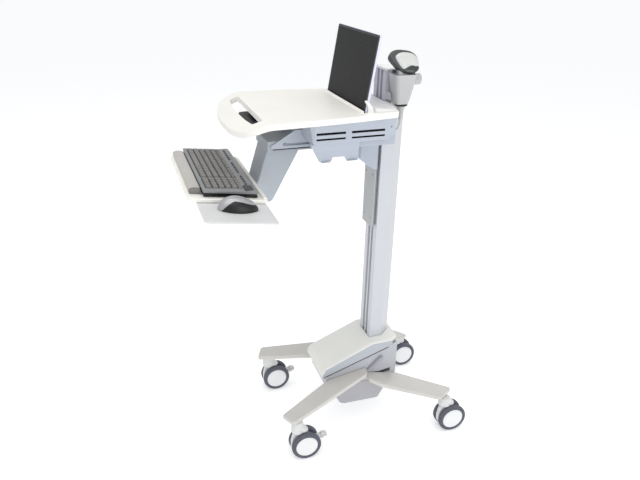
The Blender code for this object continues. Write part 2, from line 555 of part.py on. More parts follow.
bracket = box("tray_hinge_bracket", (-0.0595, 0.0600, -0.0366), (0.0595, 0.1500, -0.0265), "arm_paint", "tray",
              matrix=TRAY_FRAME)
boolean(bracket, place(box_mesh("join_rail", (0.0500, 0.0640, -0.0362), (0.2000, 0.1300, -0.0323)), "join_rail",
                       None, "tray", TRAY_FRAME, cutter=True), 'UNION')
py, pz = TRAY_PIVOT[1], TRAY_PIVOT[2]
ear = [(-0.5450, 0.9290), (-0.5150, 0.9050), (py - 0.0040, pz - 0.0120), (py + 0.0060, pz - 0.0110),
       (py + 0.0120, pz - 0.0030), (py + 0.0110, pz + 0.0070), (py + 0.0020, pz + 0.0130), (-0.4900, 0.9230)]
for sx in (1, -1):
    lo, hi = sorted((sx * 0.0560, sx * 0.0588))
    boolean(bracket, place(outline_mesh("join_ear", ear, "YZ", lo, hi), "join_ear", None, "tray", cutter=True),
            'UNION')
boolean(bracket, rod_cutter((-0.2, py, pz), (0.2, py, pz), 0.0043, "tray", 16))

kb_side = [(0.0004, -0.0146), (0.0004, -0.0030), (0.0040, 0.0000), (0.1180, 0.0030), (0.1400, 0.0065),
           (0.1500, 0.0045), (0.1530, -0.0010), (0.1530, -0.0146)]
kb = outline("keyboard", kb_side, "YZ", -0.2200, 0.1940, "keyboard_grey", "tray", matrix=TRAY_FRAME)
boolean(kb, place(box_mesh("join_keys", (-0.2080, 0.0120, -0.0050), (0.1820, 0.1120, 0.0070)), "join_keys", None,
                  "tray", TRAY_FRAME, cutter=True), 'UNION')
rest_side = [(-0.0320, -0.0146), (-0.0320, -0.0080), (-0.0270, -0.0035), (-0.0160, -0.0010), (-0.0040, -0.0020),
             (0.0000, -0.0050), (0.0000, -0.0146)]
outline("wrist_rest", rest_side, "YZ", -0.2060, 0.1700, "rest_grey", "tray", matrix=TRAY_FRAME)

mouse_plan = rounded([(0.0700, -0.0170), (0.3400, -0.0170), (0.3400, 0.1750), (0.0700, 0.1750)],
                     [0.0040, 0.0140, 0.0140, 0.0040], 4)
outline("mouse_tray", mouse_plan, "XY", -0.0318, -0.0268, "white_top", "mouse_tray", 0.0012, 1, TRAY_FRAME)

bm = bmesh.new()
bmesh.ops.create_uvsphere(bm, u_segments=24, v_segments=12, radius=1.0)
bmesh.ops.bisect_plane(bm, geom=bm.verts[:] + bm.edges[:] + bm.faces[:], plane_co=(0, 0, 0), plane_no=(0, 0, 1),
                       clear_inner=True)
bmesh.ops.holes_fill(bm, edges=[e for e in bm.edges if e.is_boundary])
for v in bm.verts:
    v.co.x *= 0.0315 * (1.0 - 0.10 * v.co.y * v.co.y)
    v.co.y *= 0.0545
    v.co.z *= 0.0355
bmesh.ops.translate(bm, vec=(0.2490, 0.0860, -0.0265), verts=bm.verts[:])
place(finish(bm, "mouse"), "mouse", "mouse_silver", "mouse_tray", TRAY_FRAME)

# -------------------------------------------- power supply bracket under the bay
psb_side = [(-0.3130, 1.0694), (-0.3000, 1.0440), (-0.2850, 1.0165), (-0.2790, 1.0150), (-0.2500, 1.0165),
            (-0.2460, 1.0275), (-0.2120, 1.0275), (-0.2040, 1.0150), (-0.1710, 1.0150), (-0.1690, 1.0180),
            (-0.1690, 1.0694)]
psb = outline("power_supply_bracket", psb_side, "YZ", 0.1500, 0.1700, "bay_paint", "head")
psb_section = [(0.1660, 1.0900), (0.1660, 1.0694), (0.1580, 1.0450), (0.1580, 1.0000), (0.1556, 1.0000),
               (0.1556, 1.0455), (0.1634, 1.0694), (0.1634, 1.0900)]
boolean(psb, outline_cutter(psb_section, "XZ", -0.4, 0.0, "head"), 'INTERSECT')
boolean(psb, place(box_mesh("join_flange", (0.1100, -0.3060, 1.0670), (0.1640, -0.1800, 1.0692)), "join_flange",
                   None, "head", cutter=True), 'UNION')

# ------------------------------------------------ scanner, holster and its lead
hb_side = [(-0.0460, 1.1585), (-0.0305, 1.1585), (-0.0305, 1.1000), (0.0080, 1.1000), (0.0260, 1.1500),
           (0.0260, 1.2400), (-0.0460, 1.2400)]
hb = outline("holster_bracket", hb_side, "YZ", 0.0464, 0.0506, "holster_grey", "head")
boolean(hb, place(box_mesh("join_boss", (0.0490, -0.0380, 1.2000), (0.0545, 0.0060, 1.2330)), "join_boss", None,
                  "head", cutter=True), 'UNION')
boolean(hb, place(box_mesh("join_lug", (0.0480, 0.0205, 1.1950), (0.0780, 0.0262, 1.2310)), "join_lug", None,
                  "head", cutter=True), 'UNION')
boolean(hb, place(box_mesh("join_foot", (0.0480, -0.0460, 1.1585), (0.0780, -0.0440, 1.1800)), "join_foot", None,
                  "head", cutter=True), 'UNION')


def cup_ring(half_x, half_y, r, z, dy=0.0):
    return [(CUP[0] + u, CUP[1] + dy + v, z) for u, v in rect((-half_x, -half_y), (half_x, half_y), r, 3)]


cup = loft("scanner_holster", [
    cup_ring(0.0180, 0.0185, 0.0090, 1.1503), cup_ring(0.0215, 0.0215, 0.0100, 1.1650),
    cup_ring(0.0270, 0.0270, 0.0120, 1.1950), cup_ring(0.0328, 0.0330, 0.0140, 1.2360)], "holster_grey", "head")
boolean(cup, loft("cut_cup", [
    cup_ring(0.0155, 0.0160, 0.0075, 1.1540), cup_ring(0.0190, 0.0190, 0.0085, 1.1655),
    cup_ring(0.0245, 0.0245, 0.0100, 1.1950), cup_ring(0.0320, 0.0322, 0.0125, 1.2500)], None, "head", cutter=True))
turned("cable_gland", [(0.0, 1.1500), (0.0182, 1.1500), (0.0176, 1.1442), (0.0110, 1.1440), (0.0100, 1.1360),
                       (0.0070, 1.1180), (0.0048, 1.1040), (0.0, 1.1040)], "gland_black", "head",
       (CUP[0], CUP[1] + 0.002, 0.0), Matrix.Identity(3), 20)

lead_route = [(CUP[0], CUP[1] + 0.0020, 1.1037), (CUP[0], CUP[1] + 0.0020, 1.0950), (CUP[0], CUP[1] + 0.0006, 1.0850),
              (CUP[0], CUP[1] - 0.0050, 1.0750), (CUP[0], CUP[1] - 0.0150, 1.0690), (CUP[0], CUP[1] - 0.0260, 1.0668),
              (CUP[0], CUP[1] - 0.0400, 1.0665)]


def smooth(points, per):
    out = []
    for i in range(len(points) - 1):
        p0 = Vector(points[max(i - 1, 0)])
        p1, p2 = Vector(points[i]), Vector(points[i + 1])
        p3 = Vector(points[min(i + 2, len(points) - 1)])
        for k in range(per):
            t = k / per
            out.append(0.5 * ((2 * p1) + (p2 - p0) * t + (2 * p0 - 5 * p1 + 4 * p2 - p3) * t * t
                              + (3 * p1 - p0 - 3 * p2 + p3) * t ** 3))
    out.append(Vector(points[-1]))
    return out


cu = bpy.data.curves.new("scanner_cable", 'CURVE')
cu.dimensions = '3D'
cu.bevel_depth = 0.0030
cu.bevel_resolution = 2
cu.use_fill_caps = True
run = smooth(lead_route, 2)
sp = cu.splines.new('POLY')
sp.points.add(len(run) - 1)
for p, co in zip(sp.points, run):
    p.co = (co.x, co.y, co.z, 1.0)
lead = bpy.data.objects.new("scanner_cable", cu)
lead.parent = PIVOTS["head"][0]
lead.location = -PIVOTS["head"][1]
cu.materials.append(MATS["cable_grey"])
parts.objects.link(lead)

turned("holster_knob", [(0.0, 0.0130), (0.0140, 0.0130), (0.0165, 0.0110), (0.0165, -0.0110), (0.0150, -0.0134),
                        (0.0, -0.0134)], "holster_grey", "knob", (0.0620, 0.0400, 1.2130),
       Matrix.Rotation(-math.pi / 2, 3, 'X'), 16)

# The scanner: a grip that stands in the cup and a shield-shaped head on top.
HEAD_N = Vector((0.90, 0.04, 0.40)).normalized()
HEAD_A = Vector((0.0, -1.0, 0.30))
HEAD_A = (HEAD_A - HEAD_N * HEAD_A.dot(HEAD_N)).normalized()
HEAD_B = HEAD_N.cross(HEAD_A)
head_frame = Matrix((HEAD_A, HEAD_B, HEAD_N)).transposed().to_4x4()
head_frame.translation = Vector((0.0920, -0.0230, 1.2700))
bm = bmesh.new()
bmesh.ops.create_uvsphere(bm, u_segments=20, v_segments=10, radius=1.0)
for v in bm.verts:
    flat = 0.0170 if v.co.z > 0 else 0.0210
    v.co.x = max(min(v.co.x, 0.86), -1.0) * 0.0440
    v.co.y *= 0.0330
    v.co.z *= flat
bmesh.ops.remove_doubles(bm, verts=bm.verts[:], dist=0.00005)
scanner = place(finish(bm, "scanner_body"), "scanner_body", "scanner_grey", "scanner", head_frame)
grip = loft("join_grip", [cup_ring(0.0120, 0.0125, 0.0060, 1.1560), cup_ring(0.0150, 0.0160, 0.0080, 1.1900),
                          cup_ring(0.0165, 0.0190, 0.0090, 1.2300), cup_ring(0.0150, 0.0200, 0.0090, 1.2650)],
            None, "scanner", cutter=True)
boolean(scanner, grip, 'UNION')
boolean(scanner, box_cutter((CUP[0] - 0.0070, -0.0700, 1.2200), (CUP[0] + 0.0070, -0.0362, 1.2520), "scanner"))
box("scanner_trigger", (CUP[0] - 0.0060, -0.0460, 1.2395), (CUP[0] + 0.0060, -0.0392, 1.2505), "gland_black",
    "trigger", 0.0010, 1)

# ------------------------------------------------------------ smooth shading
for ob in parts.objects:
    if ob.type == 'MESH':
        ob.data.shade_smooth()
        ob.data.set_sharp_from_angle(angle=math.radians(35))
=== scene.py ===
import math
import bpy
import bmesh
from mathutils import Matrix, Vector, noise


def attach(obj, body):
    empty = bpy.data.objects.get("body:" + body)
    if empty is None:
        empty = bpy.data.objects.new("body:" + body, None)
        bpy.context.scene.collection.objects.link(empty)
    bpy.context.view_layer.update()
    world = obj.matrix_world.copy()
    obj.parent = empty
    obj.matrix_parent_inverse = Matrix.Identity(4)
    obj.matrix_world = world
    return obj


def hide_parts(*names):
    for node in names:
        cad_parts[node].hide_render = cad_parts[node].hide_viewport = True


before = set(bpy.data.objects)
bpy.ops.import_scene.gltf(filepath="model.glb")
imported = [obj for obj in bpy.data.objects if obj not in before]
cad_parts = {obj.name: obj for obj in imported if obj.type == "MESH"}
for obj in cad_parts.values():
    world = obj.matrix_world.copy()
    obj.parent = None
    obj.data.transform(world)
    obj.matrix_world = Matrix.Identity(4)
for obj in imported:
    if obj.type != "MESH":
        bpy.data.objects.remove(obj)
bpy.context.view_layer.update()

# Pieces are written in the cart's own coordinates, with x = 0 on the column's
# plane of symmetry and y = 0 near the column's middle, and moved by OFF into the
# row's frame, which is centred on the plan box.
OFF = Vector((-0.05525, 0.20119, 0.0))
scene = bpy.context.scene

# ------------------------------------------------------------------ camera, light
cam_data = bpy.data.cameras.new("camera")
cam_data.sensor_width = 36.0
cam_data.lens = 35.593
cam_data.shift_x = 0.0531
cam_data.shift_y = 0.0003
cam_data.clip_end = 200.0
camera = bpy.data.objects.new("camera", cam_data)
camera.location = (1.70905, -0.63881, 1.5595)
camera.rotation_euler = (math.radians(90.0 - 24.757), 0.0, math.radians(74.085))
scene.collection.objects.link(camera)
scene.camera = camera
scene.view_settings.view_transform = 'Standard'
scene.view_settings.look = 'None'


def area_light(name, loc, target, size, power, color=(1.0, 1.0, 1.0), spread=None):
    data = bpy.data.lights.new(name, 'AREA')
    data.shape = 'RECTANGLE'
    data.size, data.size_y = size
    data.energy = power
    data.color = color
    ob = bpy.data.objects.new(name, data)
    ob.location = loc
    ob.rotation_euler = (Vector(target) - Vector(loc)).to_track_quat('-Z', 'Y').to_euler()
    scene.collection.objects.link(ob)
    return ob


area_light("key_top", (0.6, -0.6, 3.6), (0.0, 0.0, 0.7), (3.4, 3.4), 44.0, (1.0, 0.985, 0.955))
area_light("fill_near", (3.4, 1.2, 1.7), (0.0, 0.0, 0.7), (2.6, 2.4), 26.0, (0.975, 0.983, 1.0))
area_light("fill_front", (1.4, -3.4, 1.6), (0.0, 0.0, 0.7), (2.4, 2.0), 2.5, (0.98, 0.985, 1.0))
area_light("rim_back", (-2.6, 2.4, 2.4), (0.0, 0.0, 0.8), (2.2, 2.2), 14.0)

world = bpy.data.worlds.new("studio")
scene.world = world
world.use_nodes = True
world.node_tree.nodes["Background"].inputs["Color"].default_value = (0.97, 0.985, 1.0, 1.0)
world.node_tree.nodes["Background"].inputs["Strength"].default_value = 0.66


# --------------------------------------------------------------------- materials
def lin(c):
    return tuple((v / 255 / 12.92) if v / 255 <= 0.04045 else ((v / 255 + 0.055) / 1.055) ** 2.4 for v in c)


def material(name, rgb, rough=0.45, metal=0.0, var=0.03, rough_var=0.06, fine=1100.0, bump=0.10, depth=0.00012,
             stretch=(1.0, 1.0, 1.0), coat=0.0, coat_rough=0.1, blotch=9.0, tint=None, specular=0.5, dust=0.0,
             dust_rgb=(190, 188, 182), speck=0.0, sheen=0.0):
    """A painted, moulded or metal surface: tone that drifts over the piece, a fine
    grain in roughness and height, and optional dust and speckle."""
    m = bpy.data.materials.new(name)
    m.use_nodes = True
    nt = m.node_tree
    nodes, links = nt.nodes, nt.links
    bsdf = nodes["Principled BSDF"]
    base = lin(rgb)
    bsdf.inputs["Metallic"].default_value = metal
    bsdf.inputs["Specular IOR Level"].default_value = specular
    bsdf.inputs["Coat Weight"].default_value = coat
    bsdf.inputs["Coat Roughness"].default_value = coat_rough
    if sheen:
        bsdf.inputs["Sheen Weight"].default_value = sheen
    tc = nodes.new("ShaderNodeTexCoord")
    mp = nodes.new("ShaderNodeMapping")
    mp.inputs["Scale"].default_value = stretch
    links.new(tc.outputs["Object"], mp.inputs["Vector"])
    # slow drift of tone
    big = nodes.new("ShaderNodeTexNoise")
    big.inputs["Scale"].default_value = blotch
    big.inputs["Detail"].default_value = 3.0
    links.new(tc.outputs["Object"], big.inputs["Vector"])
    ramp = nodes.new("ShaderNodeValToRGB")
    lo = tuple(min(1.0, c * (1.0 - var)) for c in base)
    hi = tuple(min(1.0, c * (1.0 + var)) for c in base)
    if tint:
        lo = tuple(a * t for a, t in zip(lo, tint))
    ramp.color_ramp.elements[0].position = 0.32
    ramp.color_ramp.elements[0].color = (*lo, 1.0)
    ramp.color_ramp.elements[1].position = 0.68
    ramp.color_ramp.elements[1].color = (*hi, 1.0)
    links.new(big.outputs["Fac"], ramp.inputs["Fac"])
    colour = ramp.outputs["Color"]
    # fine grain
    grain = nodes.new("ShaderNodeTexNoise")
    grain.inputs["Scale"].default_value = fine
    grain.inputs["Detail"].default_value = 4.0
    grain.inputs["Roughness"].default_value = 0.6
    links.new(mp.outputs["Vector"], grain.inputs["Vector"])
    mid = nodes.new("ShaderNodeTexNoise")
    mid.inputs["Scale"].default_value = fine * 0.12
    mid.inputs["Detail"].default_value = 3.0
    links.new(mp.outputs["Vector"], mid.inputs["Vector"])
    if speck:
        sp = nodes.new("ShaderNodeMapRange")
        sp.inputs["From Min"].default_value = 0.56
        sp.inputs["From Max"].default_value = 0.70
        sp.inputs["To Min"].default_value = 0.0
        sp.inputs["To Max"].default_value = speck
        links.new(grain.outputs["Fac"], sp.inputs["Value"])
        mx = nodes.new("ShaderNodeMixRGB")
        mx.blend_type = 'MULTIPLY'
        mx.inputs["Color2"].default_value = (0.45, 0.45, 0.47, 1.0)
        links.new(sp.outputs["Result"], mx.inputs["Fac"])
        links.new(colour, mx.inputs["Color1"])
        colour = mx.outputs["Color"]
    if dust:
        geo = nodes.new("ShaderNodeNewGeometry")
        sep = nodes.new("ShaderNodeSeparateXYZ")
        links.new(geo.outputs["Normal"], sep.inputs["Vector"])
        up = nodes.new("ShaderNodeMapRange")
        up.inputs["From Min"].default_value = 0.15
        up.inputs["From Max"].default_value = 0.95
        up.inputs["To Min"].default_value = 0.0
        up.inputs["To Max"].default_value = dust
        links.new(sep.outputs["Z"], up.inputs["Value"])
        mul = nodes.new("ShaderNodeMath")
        mul.operation = 'MULTIPLY'
        links.new(up.outputs["Result"], mul.inputs[0])
        links.new(mid.outputs["Fac"], mul.inputs[1])
        dm = nodes.new("ShaderNodeMixRGB")
        dm.inputs["Color2"].default_value = (*lin(dust_rgb), 1.0)
        links.new(mul.outputs["Value"], dm.inputs["Fac"])
        links.new(colour, dm.inputs["Color1"])
        colour = dm.outputs["Color"]
    links.new(colour, bsdf.inputs["Base Color"])
    rr = nodes.new("ShaderNodeMapRange")
    rr.inputs["From Min"].default_value = 0.3
    rr.inputs["From Max"].default_value = 0.7
    rr.inputs["To Min"].default_value = max(0.03, rough - rough_var)
    rr.inputs["To Max"].default_value = min(1.0, rough + rough_var)
    links.new(mid.outputs["Fac"], rr.inputs["Value"])
    links.new(rr.outputs["Result"], bsdf.inputs["Roughness"])
    bp = nodes.new("ShaderNodeBump")
    bp.inputs["Strength"].default_value = bump
    bp.inputs["Distance"].default_value = depth
    links.new(grain.outputs["Fac"], bp.inputs["Height"])
    links.new(bp.outputs["Normal"], bsdf.inputs["Normal"])
    return m


M_TOP = material("worktop_white", (246, 244, 238), 0.42, var=0.012, fine=1400, bump=0.12, speck=0.03)
M_TOP_COOL = material("deck_white", (238, 238, 236), 0.42, var=0.012, fine=1400, bump=0.12)
M_TRAY = material("tray_white", (245, 243, 237), 0.42, var=0.012, fine=1400, bump=0.12)
M_MTRAY = material("mouse_tray_grey", (219, 219, 220), 0.42, var=0.014, fine=1400, bump=0.12)
M_BAY = material("bay_powder_coat", (181, 188, 200), 0.46, var=0.018, fine=900, bump=0.22)
M_ARM = material("arm_powder_coat", (171, 178, 186), 0.46, var=0.022, fine=900, bump=0.22)
M_CARR = material("carriage_cover_coat", (176, 178, 180), 0.46, var=0.022, fine=900, bump=0.2)
M_COL = material("column_satin_anodised", (203, 205, 210), 0.40, metal=0.12, var=0.016, fine=1500,
                 stretch=(1.0, 1.0, 0.02), bump=0.16, depth=0.00005, blotch=4.0)
# painted shade: near-black for the bottoms of the column's front grooves, standing in for the shade inside them
M_GROOVE_SHADE = material("groove_painted_shade", (42, 43, 46), 0.5, metal=0.3, var=0.05, fine=1500, stretch=(1.0, 1.0, 0.02),
                   bump=0.15, depth=0.00005)
M_CARRF = material("carriage_frame_grey", (165, 167, 172), 0.5, var=0.03, fine=1300, bump=0.15)
M_STEEL = material("drawn_steel", (150, 151, 154), 0.32, metal=0.95, var=0.05, fine=1800, stretch=(1.0, 1.0, 0.05),
                   bump=0.12, depth=0.00005)
M_COVER = material("cover_moulding", (236, 236, 231), 0.50, var=0.014, fine=1300, bump=0.20)
# painted shade: a darker copy of the cover moulding colour for the cover's side faces, standing in for the shade those
# faces fall in
M_COVER_SIDE_SHADE = material("cover_side_painted_shade", (183, 188, 195), 0.50, var=0.014, fine=1300, bump=0.20)
M_HOUSE = material("housing_moulding", (190, 192, 198), 0.50, var=0.016, fine=1300, bump=0.20)
M_TUB = material("tub_coat", (172, 172, 177), 0.50, var=0.02, fine=1000, bump=0.22)
M_LEG = material("leg_powder_coat", (206, 203, 198), 0.36, var=0.03, fine=700, bump=0.16, blotch=14.0,
                 coat=0.15, coat_rough=0.25)
M_CAST = material("caster_moulding", (218, 219, 219), 0.42, var=0.02, fine=1300, bump=0.14)
M_HUB = material("hubcap_gloss", (232, 233, 234), 0.24, var=0.012, fine=1300, bump=0.04, coat=0.35, coat_rough=0.08)
M_TYRE = material("tyre_rubber", (88, 90, 102), 0.62, var=0.08, fine=1600, bump=0.35, depth=0.00025, blotch=22.0,
                  dust=0.25, dust_rgb=(140, 140, 146), specular=0.35)
M_BLACK = material("black_moulding", (30, 30, 32), 0.50, var=0.12, fine=1300, bump=0.2)
# painted shade: near-black for the bay's inner faces and vent slots, standing in for the shade inside the bay
M_BAY_SHADE = material("bay_painted_shade_black", (13, 13, 15), 0.75, var=0.2, fine=1300, bump=0.2, specular=0.2)
M_SCREEN = material("screen_matt_panel", (30, 30, 31), 0.55, var=0.03, fine=2400, bump=0.05, depth=0.00003,
                    specular=0.22, blotch=3.0)
M_BEZEL = material("bezel_navy_black", (28, 28, 42), 0.38, var=0.06, fine=1500, bump=0.12)
M_LIDBACK = material("lid_shell_lavender", (222, 220, 240), 0.35, var=0.012, fine=1500, bump=0.08, metal=0.1)
M_LAPTOP = material("laptop_base_dark", (46, 46, 50), 0.45, var=0.06, fine=1500, bump=0.15)
M_KBSIL = material("keyboard_silver", (142, 143, 145), 0.40, var=0.03, metal=0.15, fine=1500, bump=0.12)
M_KBWELL = material("keyboard_well_dark", (30, 30, 32), 0.6, var=0.08, fine=1500, bump=0.15)
M_KBDARK = material("keyboard_deck_dark", (70, 71, 74), 0.48, var=0.05, fine=1500, bump=0.15)
M_KEY = material("key_grey", (130, 128, 126), 0.55, var=0.06, fine=1600, bump=0.25, blotch=30.0)
M_KBBLACK = material("keyboard_end_black", (12, 12, 14), 0.30, var=0.1, fine=1500, bump=0.08)
M_REST = material("wrist_rest_skin", (187, 184, 179), 0.66, var=0.03, fine=500, bump=0.5, depth=0.0003, sheen=0.15)
M_RESTEND = material("wrist_rest_end", (122, 120, 119), 0.55, var=0.04, fine=900, bump=0.2)
M_MOUSE = material("mouse_silver", (176, 177, 180), 0.30, metal=0.35, var=0.02, rough_var=0.02, fine=1500, bump=0.01, coat=0.3,
                   coat_rough=0.15)
M_MOUSEB = material("mouse_black", (20, 20, 22), 0.38, var=0.1, fine=1500, bump=0.15)
M_HOL = material("holster_grey", (190, 191, 191), 0.42, var=0.02, fine=1200, bump=0.15)
M_SCAN = material("scanner_dark", (74, 79, 76), 0.45, var=0.05, fine=1400, bump=0.2)
M_SCANTOP = material("scanner_offwhite", (208, 210, 206), 0.30, var=0.01, fine=1400, bump=0.06, coat=0.3,
                     coat_rough=0.12)
M_LENS = material("scanner_pad", (50, 56, 54), 0.20, var=0.05, fine=1400, bump=0.05, coat=0.5, coat_rough=0.06)
M_CABLE = material("cable_jacket", (196, 199, 198), 0.52, var=0.03, fine=1500, bump=0.2)
M_RUBBER = material("black_rubber", (26, 26, 28), 0.6, var=0.12, fine=1500, bump=0.25)
M_CLIP = material("clip_grey", (168, 169, 174), 0.48, var=0.03, fine=1200, bump=0.2)
M_FLOOR = material("studio_floor", (250, 250, 250), 0.85, var=0.004, fine=60, bump=0.0, specular=0.1)
M_FLOOR.node_tree.nodes["Principled BSDF"].inputs["Emission Color"].default_value = (1.0, 1.0, 1.0, 1.0)
M_FLOOR.node_tree.nodes["Principled BSDF"].inputs["Emission Strength"].default_value = 0.34


# ------------------------------------------------------------------------ meshes
AX = {"XY": Matrix.Identity(3), "YZ": Matrix(((0, 0, 1), (1, 0, 0), (0, 1, 0))),
      "XZ": Matrix(((1, 0, 0), (0, 0, -1), (0, 1, 0)))}


def rounded(points, radii, seg=6):
    out = []
    n = len(points)
    for i in range(n):
        p = Vector(points[i])
        r = radii[i] if isinstance(radii, (list, tuple)) else radii
        if r <= 0:
            out.append((p.x, p.y))
            continue
        a = (Vector(points[i - 1]) - p)
        b = (Vector(points[(i + 1) % n]) - p)
        la, lb = a.length, b.length
        a.normalize(); b.normalize()
        half = a.angle(b) / 2
        d = min(r / math.tan(half), la * 0.48, lb * 0.48)
        r = d * math.tan(half)
        centre = p + (a + b).normalized() * (r / math.sin(half))
        s = p + a * d - centre
        e = p + b * d - centre
        sweep = math.atan2(s.x * e.y - s.y * e.x, s.dot(e))
        for k in range(seg + 1):
            t = sweep * k / seg
            c, q = math.cos(t), math.sin(t)
            out.append((centre.x + s.x * c - s.y * q, centre.y + s.x * q + s.y * c))
    return out


def rect(lo, hi, r, seg=6):
    return rounded([(lo[0], lo[1]), (hi[0], lo[1]), (hi[0], hi[1]), (lo[0], hi[1])], r, seg)


def catmull(points, per, closed=False):
    out = []
    n = len(points)
    last = n if closed else n - 1
    for i in range(last):
        if closed:
            p0, p1, p2, p3 = (Vector(points[(i + k) % n]) for k in (-1, 0, 1, 2))
        else:
            p0, p1 = Vector(points[max(i - 1, 0)]), Vector(points[i])
            p2, p3 = Vector(points[i + 1]), Vector(points[min(i + 2, n - 1)])
        for k in range(per):
            t = k / per
            out.append(0.5 * ((2 * p1) + (p2 - p0) * t + (2 * p0 - 5 * p1 + 4 * p2 - p3) * t * t
                              + (3 * p1 - p0 - 3 * p2 + p3) * t ** 3))
    if not closed:
        out.append(Vector(points[-1]))
    return [tuple(p) for p in out]


def mirror_x(points):
    return list(points) + [(-u, v) for u, v in reversed(points) if abs(u) > 1e-6]


def prism(points, plane, lo, hi):
    bm = bmesh.new()
    m = AX[plane].to_4x4()
    axis = {"XY": Vector((0, 0, 1)), "YZ": Vector((1, 0, 0)), "XZ": Vector((0, 1, 0))}[plane]
    ring = []
    last = None
    for u, v in points:
        if last is not None and (Vector((u, v)) - last).length < 1e-6:
            continue
        last = Vector((u, v))
        ring.append(last.copy())
    if (ring[0] - ring[-1]).length < 1e-6:
        ring.pop()
    a = [bm.verts.new(m @ Vector((u, v, 0.0)) + axis * lo) for u, v in ring]
    b = [bm.verts.new(m @ Vector((u, v, 0.0)) + axis * hi) for u, v in ring]
    n = len(a)
    bm.faces.new(a)
    bm.faces.new(list(reversed(b)))
    for i in range(n):
        bm.faces.new((a[i], b[i], b[(i + 1) % n], a[(i + 1) % n]))
    bmesh.ops.recalc_face_normals(bm, faces=bm.faces[:])
    return bm


def block(lo, hi):
    bm = bmesh.new()
    bmesh.ops.create_cube(bm, size=1.0)
    bmesh.ops.scale(bm, vec=[hi[i] - lo[i] for i in range(3)], verts=bm.verts[:])
    bmesh.ops.translate(bm, vec=[(hi[i] + lo[i]) / 2 for i in range(3)], verts=bm.verts[:])
    return bm


def lathe(profile, centre, turn, n=64, lobes=0, depth=0.0):
    """Turns (radius, height) pairs about +Z, then applies the rotation and centre."""
    bm = bmesh.new()
    rows = []
    for r, h in profile:
        if r < 1e-7:
            rows.append([bm.verts.new((0, 0, h))])
            continue
        row = []
        for k in range(n):
            a = math.tau * k / n
            rr = r
            if lobes:
                rr = r * (1.0 - depth * (0.5 - 0.5 * math.cos(lobes * a)) ** 1.5)
            row.append(bm.verts.new((rr * math.cos(a), rr * math.sin(a), h)))
        rows.append(row)
    for a, b in zip(rows, rows[1:]):
        if len(a) == 1 and len(b) == 1:
            continue
        for k in range(n):
            k2 = (k + 1) % n
            if len(a) == 1:
                bm.faces.new((a[0], b[k], b[k2]))
            elif len(b) == 1:
                bm.faces.new((a[k], b[0], a[k2]))
            else:
                bm.faces.new((a[k], b[k], b[k2], a[k2]))
    bmesh.ops.recalc_face_normals(bm, faces=bm.faces[:])
    m = Matrix.Translation(centre) @ turn.to_4x4()
    bmesh.ops.transform(bm, matrix=m, verts=bm.verts[:])
    return bm


def loft(rings, cap=True):
    bm = bmesh.new()
    loops = [[bm.verts.new(p) for p in ring] for ring in rings]
    n = len(loops[0])
    for a, b in zip(loops, loops[1:]):
        for i in range(n):
            bm.faces.new((a[i], a[(i + 1) % n], b[(i + 1) % n], b[i]))
    if cap:
        bm.faces.new(list(reversed(loops[0])))
        bm.faces.new(loops[-1])
    bmesh.ops.recalc_face_normals(bm, faces=bm.faces[:])
    return bm


def tube(points, r, n=14):
    """A round tube swept along points, closed at both ends."""
    pts = [Vector(p) for p in points]
    rings = []
    normal = None
    for i, p in enumerate(pts):
        t = (pts[min(i + 1, len(pts) - 1)] - pts[max(i - 1, 0)]).normalized()
        if normal is None:
            normal = t.orthogonal().normalized()
        normal = (normal - t * normal.dot(t)).normalized()
        side = t.cross(normal)
        rings.append([p + (normal * math.cos(math.tau * k / n) + side * math.sin(math.tau * k / n)) * r
                      for k in range(n)])
    return loft(rings)


def to_object(bm, name):
    me = bpy.data.meshes.new(name)
    bm.to_mesh(me)
    bm.free()
    ob = bpy.data.objects.new(name, me)
    scene.collection.objects.link(ob)
    return ob


def bake_modifiers(ob):
    bpy.context.view_layer.update()
    me = bpy.data.meshes.new_from_object(ob.evaluated_get(bpy.context.evaluated_depsgraph_get()))
    ob.modifiers.clear()
    old = ob.data
    ob.data = me
    bpy.data.meshes.remove(old)


def add_bevel(ob, width, seg, ang):
    m = ob.modifiers.new("bevel", 'BEVEL')
    m.width = width
    m.segments = seg
    m.limit_method = 'ANGLE'
    m.angle_limit = math.radians(ang)
    m.miter_outer = 'MITER_ARC'
    m.use_clamp_overlap = True


def make(name, bm, mat, body, reps=(), bev=0.0, seg=3, ang=40.0, cuts=(), unions=(), post=0.0,
         post_seg=2, post_ang=60.0, M=None, smooth=32.0, sub=0, weighted=True):
    """One finished piece: bevels, cuts and joins applied, placed and riding."""
    ob = to_object(bm, name)
    ob.data.materials.append(mat)
    if bev:
        add_bevel(ob, bev, seg, ang)
    tools = []
    for kind, list_ in (('UNION', unions), ('DIFFERENCE', cuts)):
        for t in list_:
            tool = to_object(t, name + "_tool")
            tool.data.materials.append(mat)
            tools.append(tool)
            b = ob.modifiers.new(kind.lower(), 'BOOLEAN')
            b.operation = kind
            b.solver = 'EXACT'
            b.object = tool
    if post:
        add_bevel(ob, post, post_seg, post_ang)
    if sub:
        s = ob.modifiers.new("sub", 'SUBSURF')
        s.levels = sub
        s.render_levels = sub
    bake_modifiers(ob)
    for t in tools:
        me = t.data
        bpy.data.objects.remove(t, do_unlink=True)
        bpy.data.meshes.remove(me)
    if M is not None:
        ob.data.transform(M)
    ob.data.transform(Matrix.Translation(OFF))
    ob.data.shade_smooth()
    ob.data.set_sharp_from_angle(angle=math.radians(smooth))
    if weighted:
        w = ob.modifiers.new("weighted", 'WEIGHTED_NORMAL')
        w.keep_sharp = True
        w.weight = 70
        bake_modifiers(ob)
    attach(ob, body)
    if reps:
        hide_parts(*reps)
    return ob


def paint_cad(node, mat):
    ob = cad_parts[node]
    ob.data.materials.clear()
    ob.data.materials.append(mat)
    for p in ob.data.polygons:
        p.material_index = 0


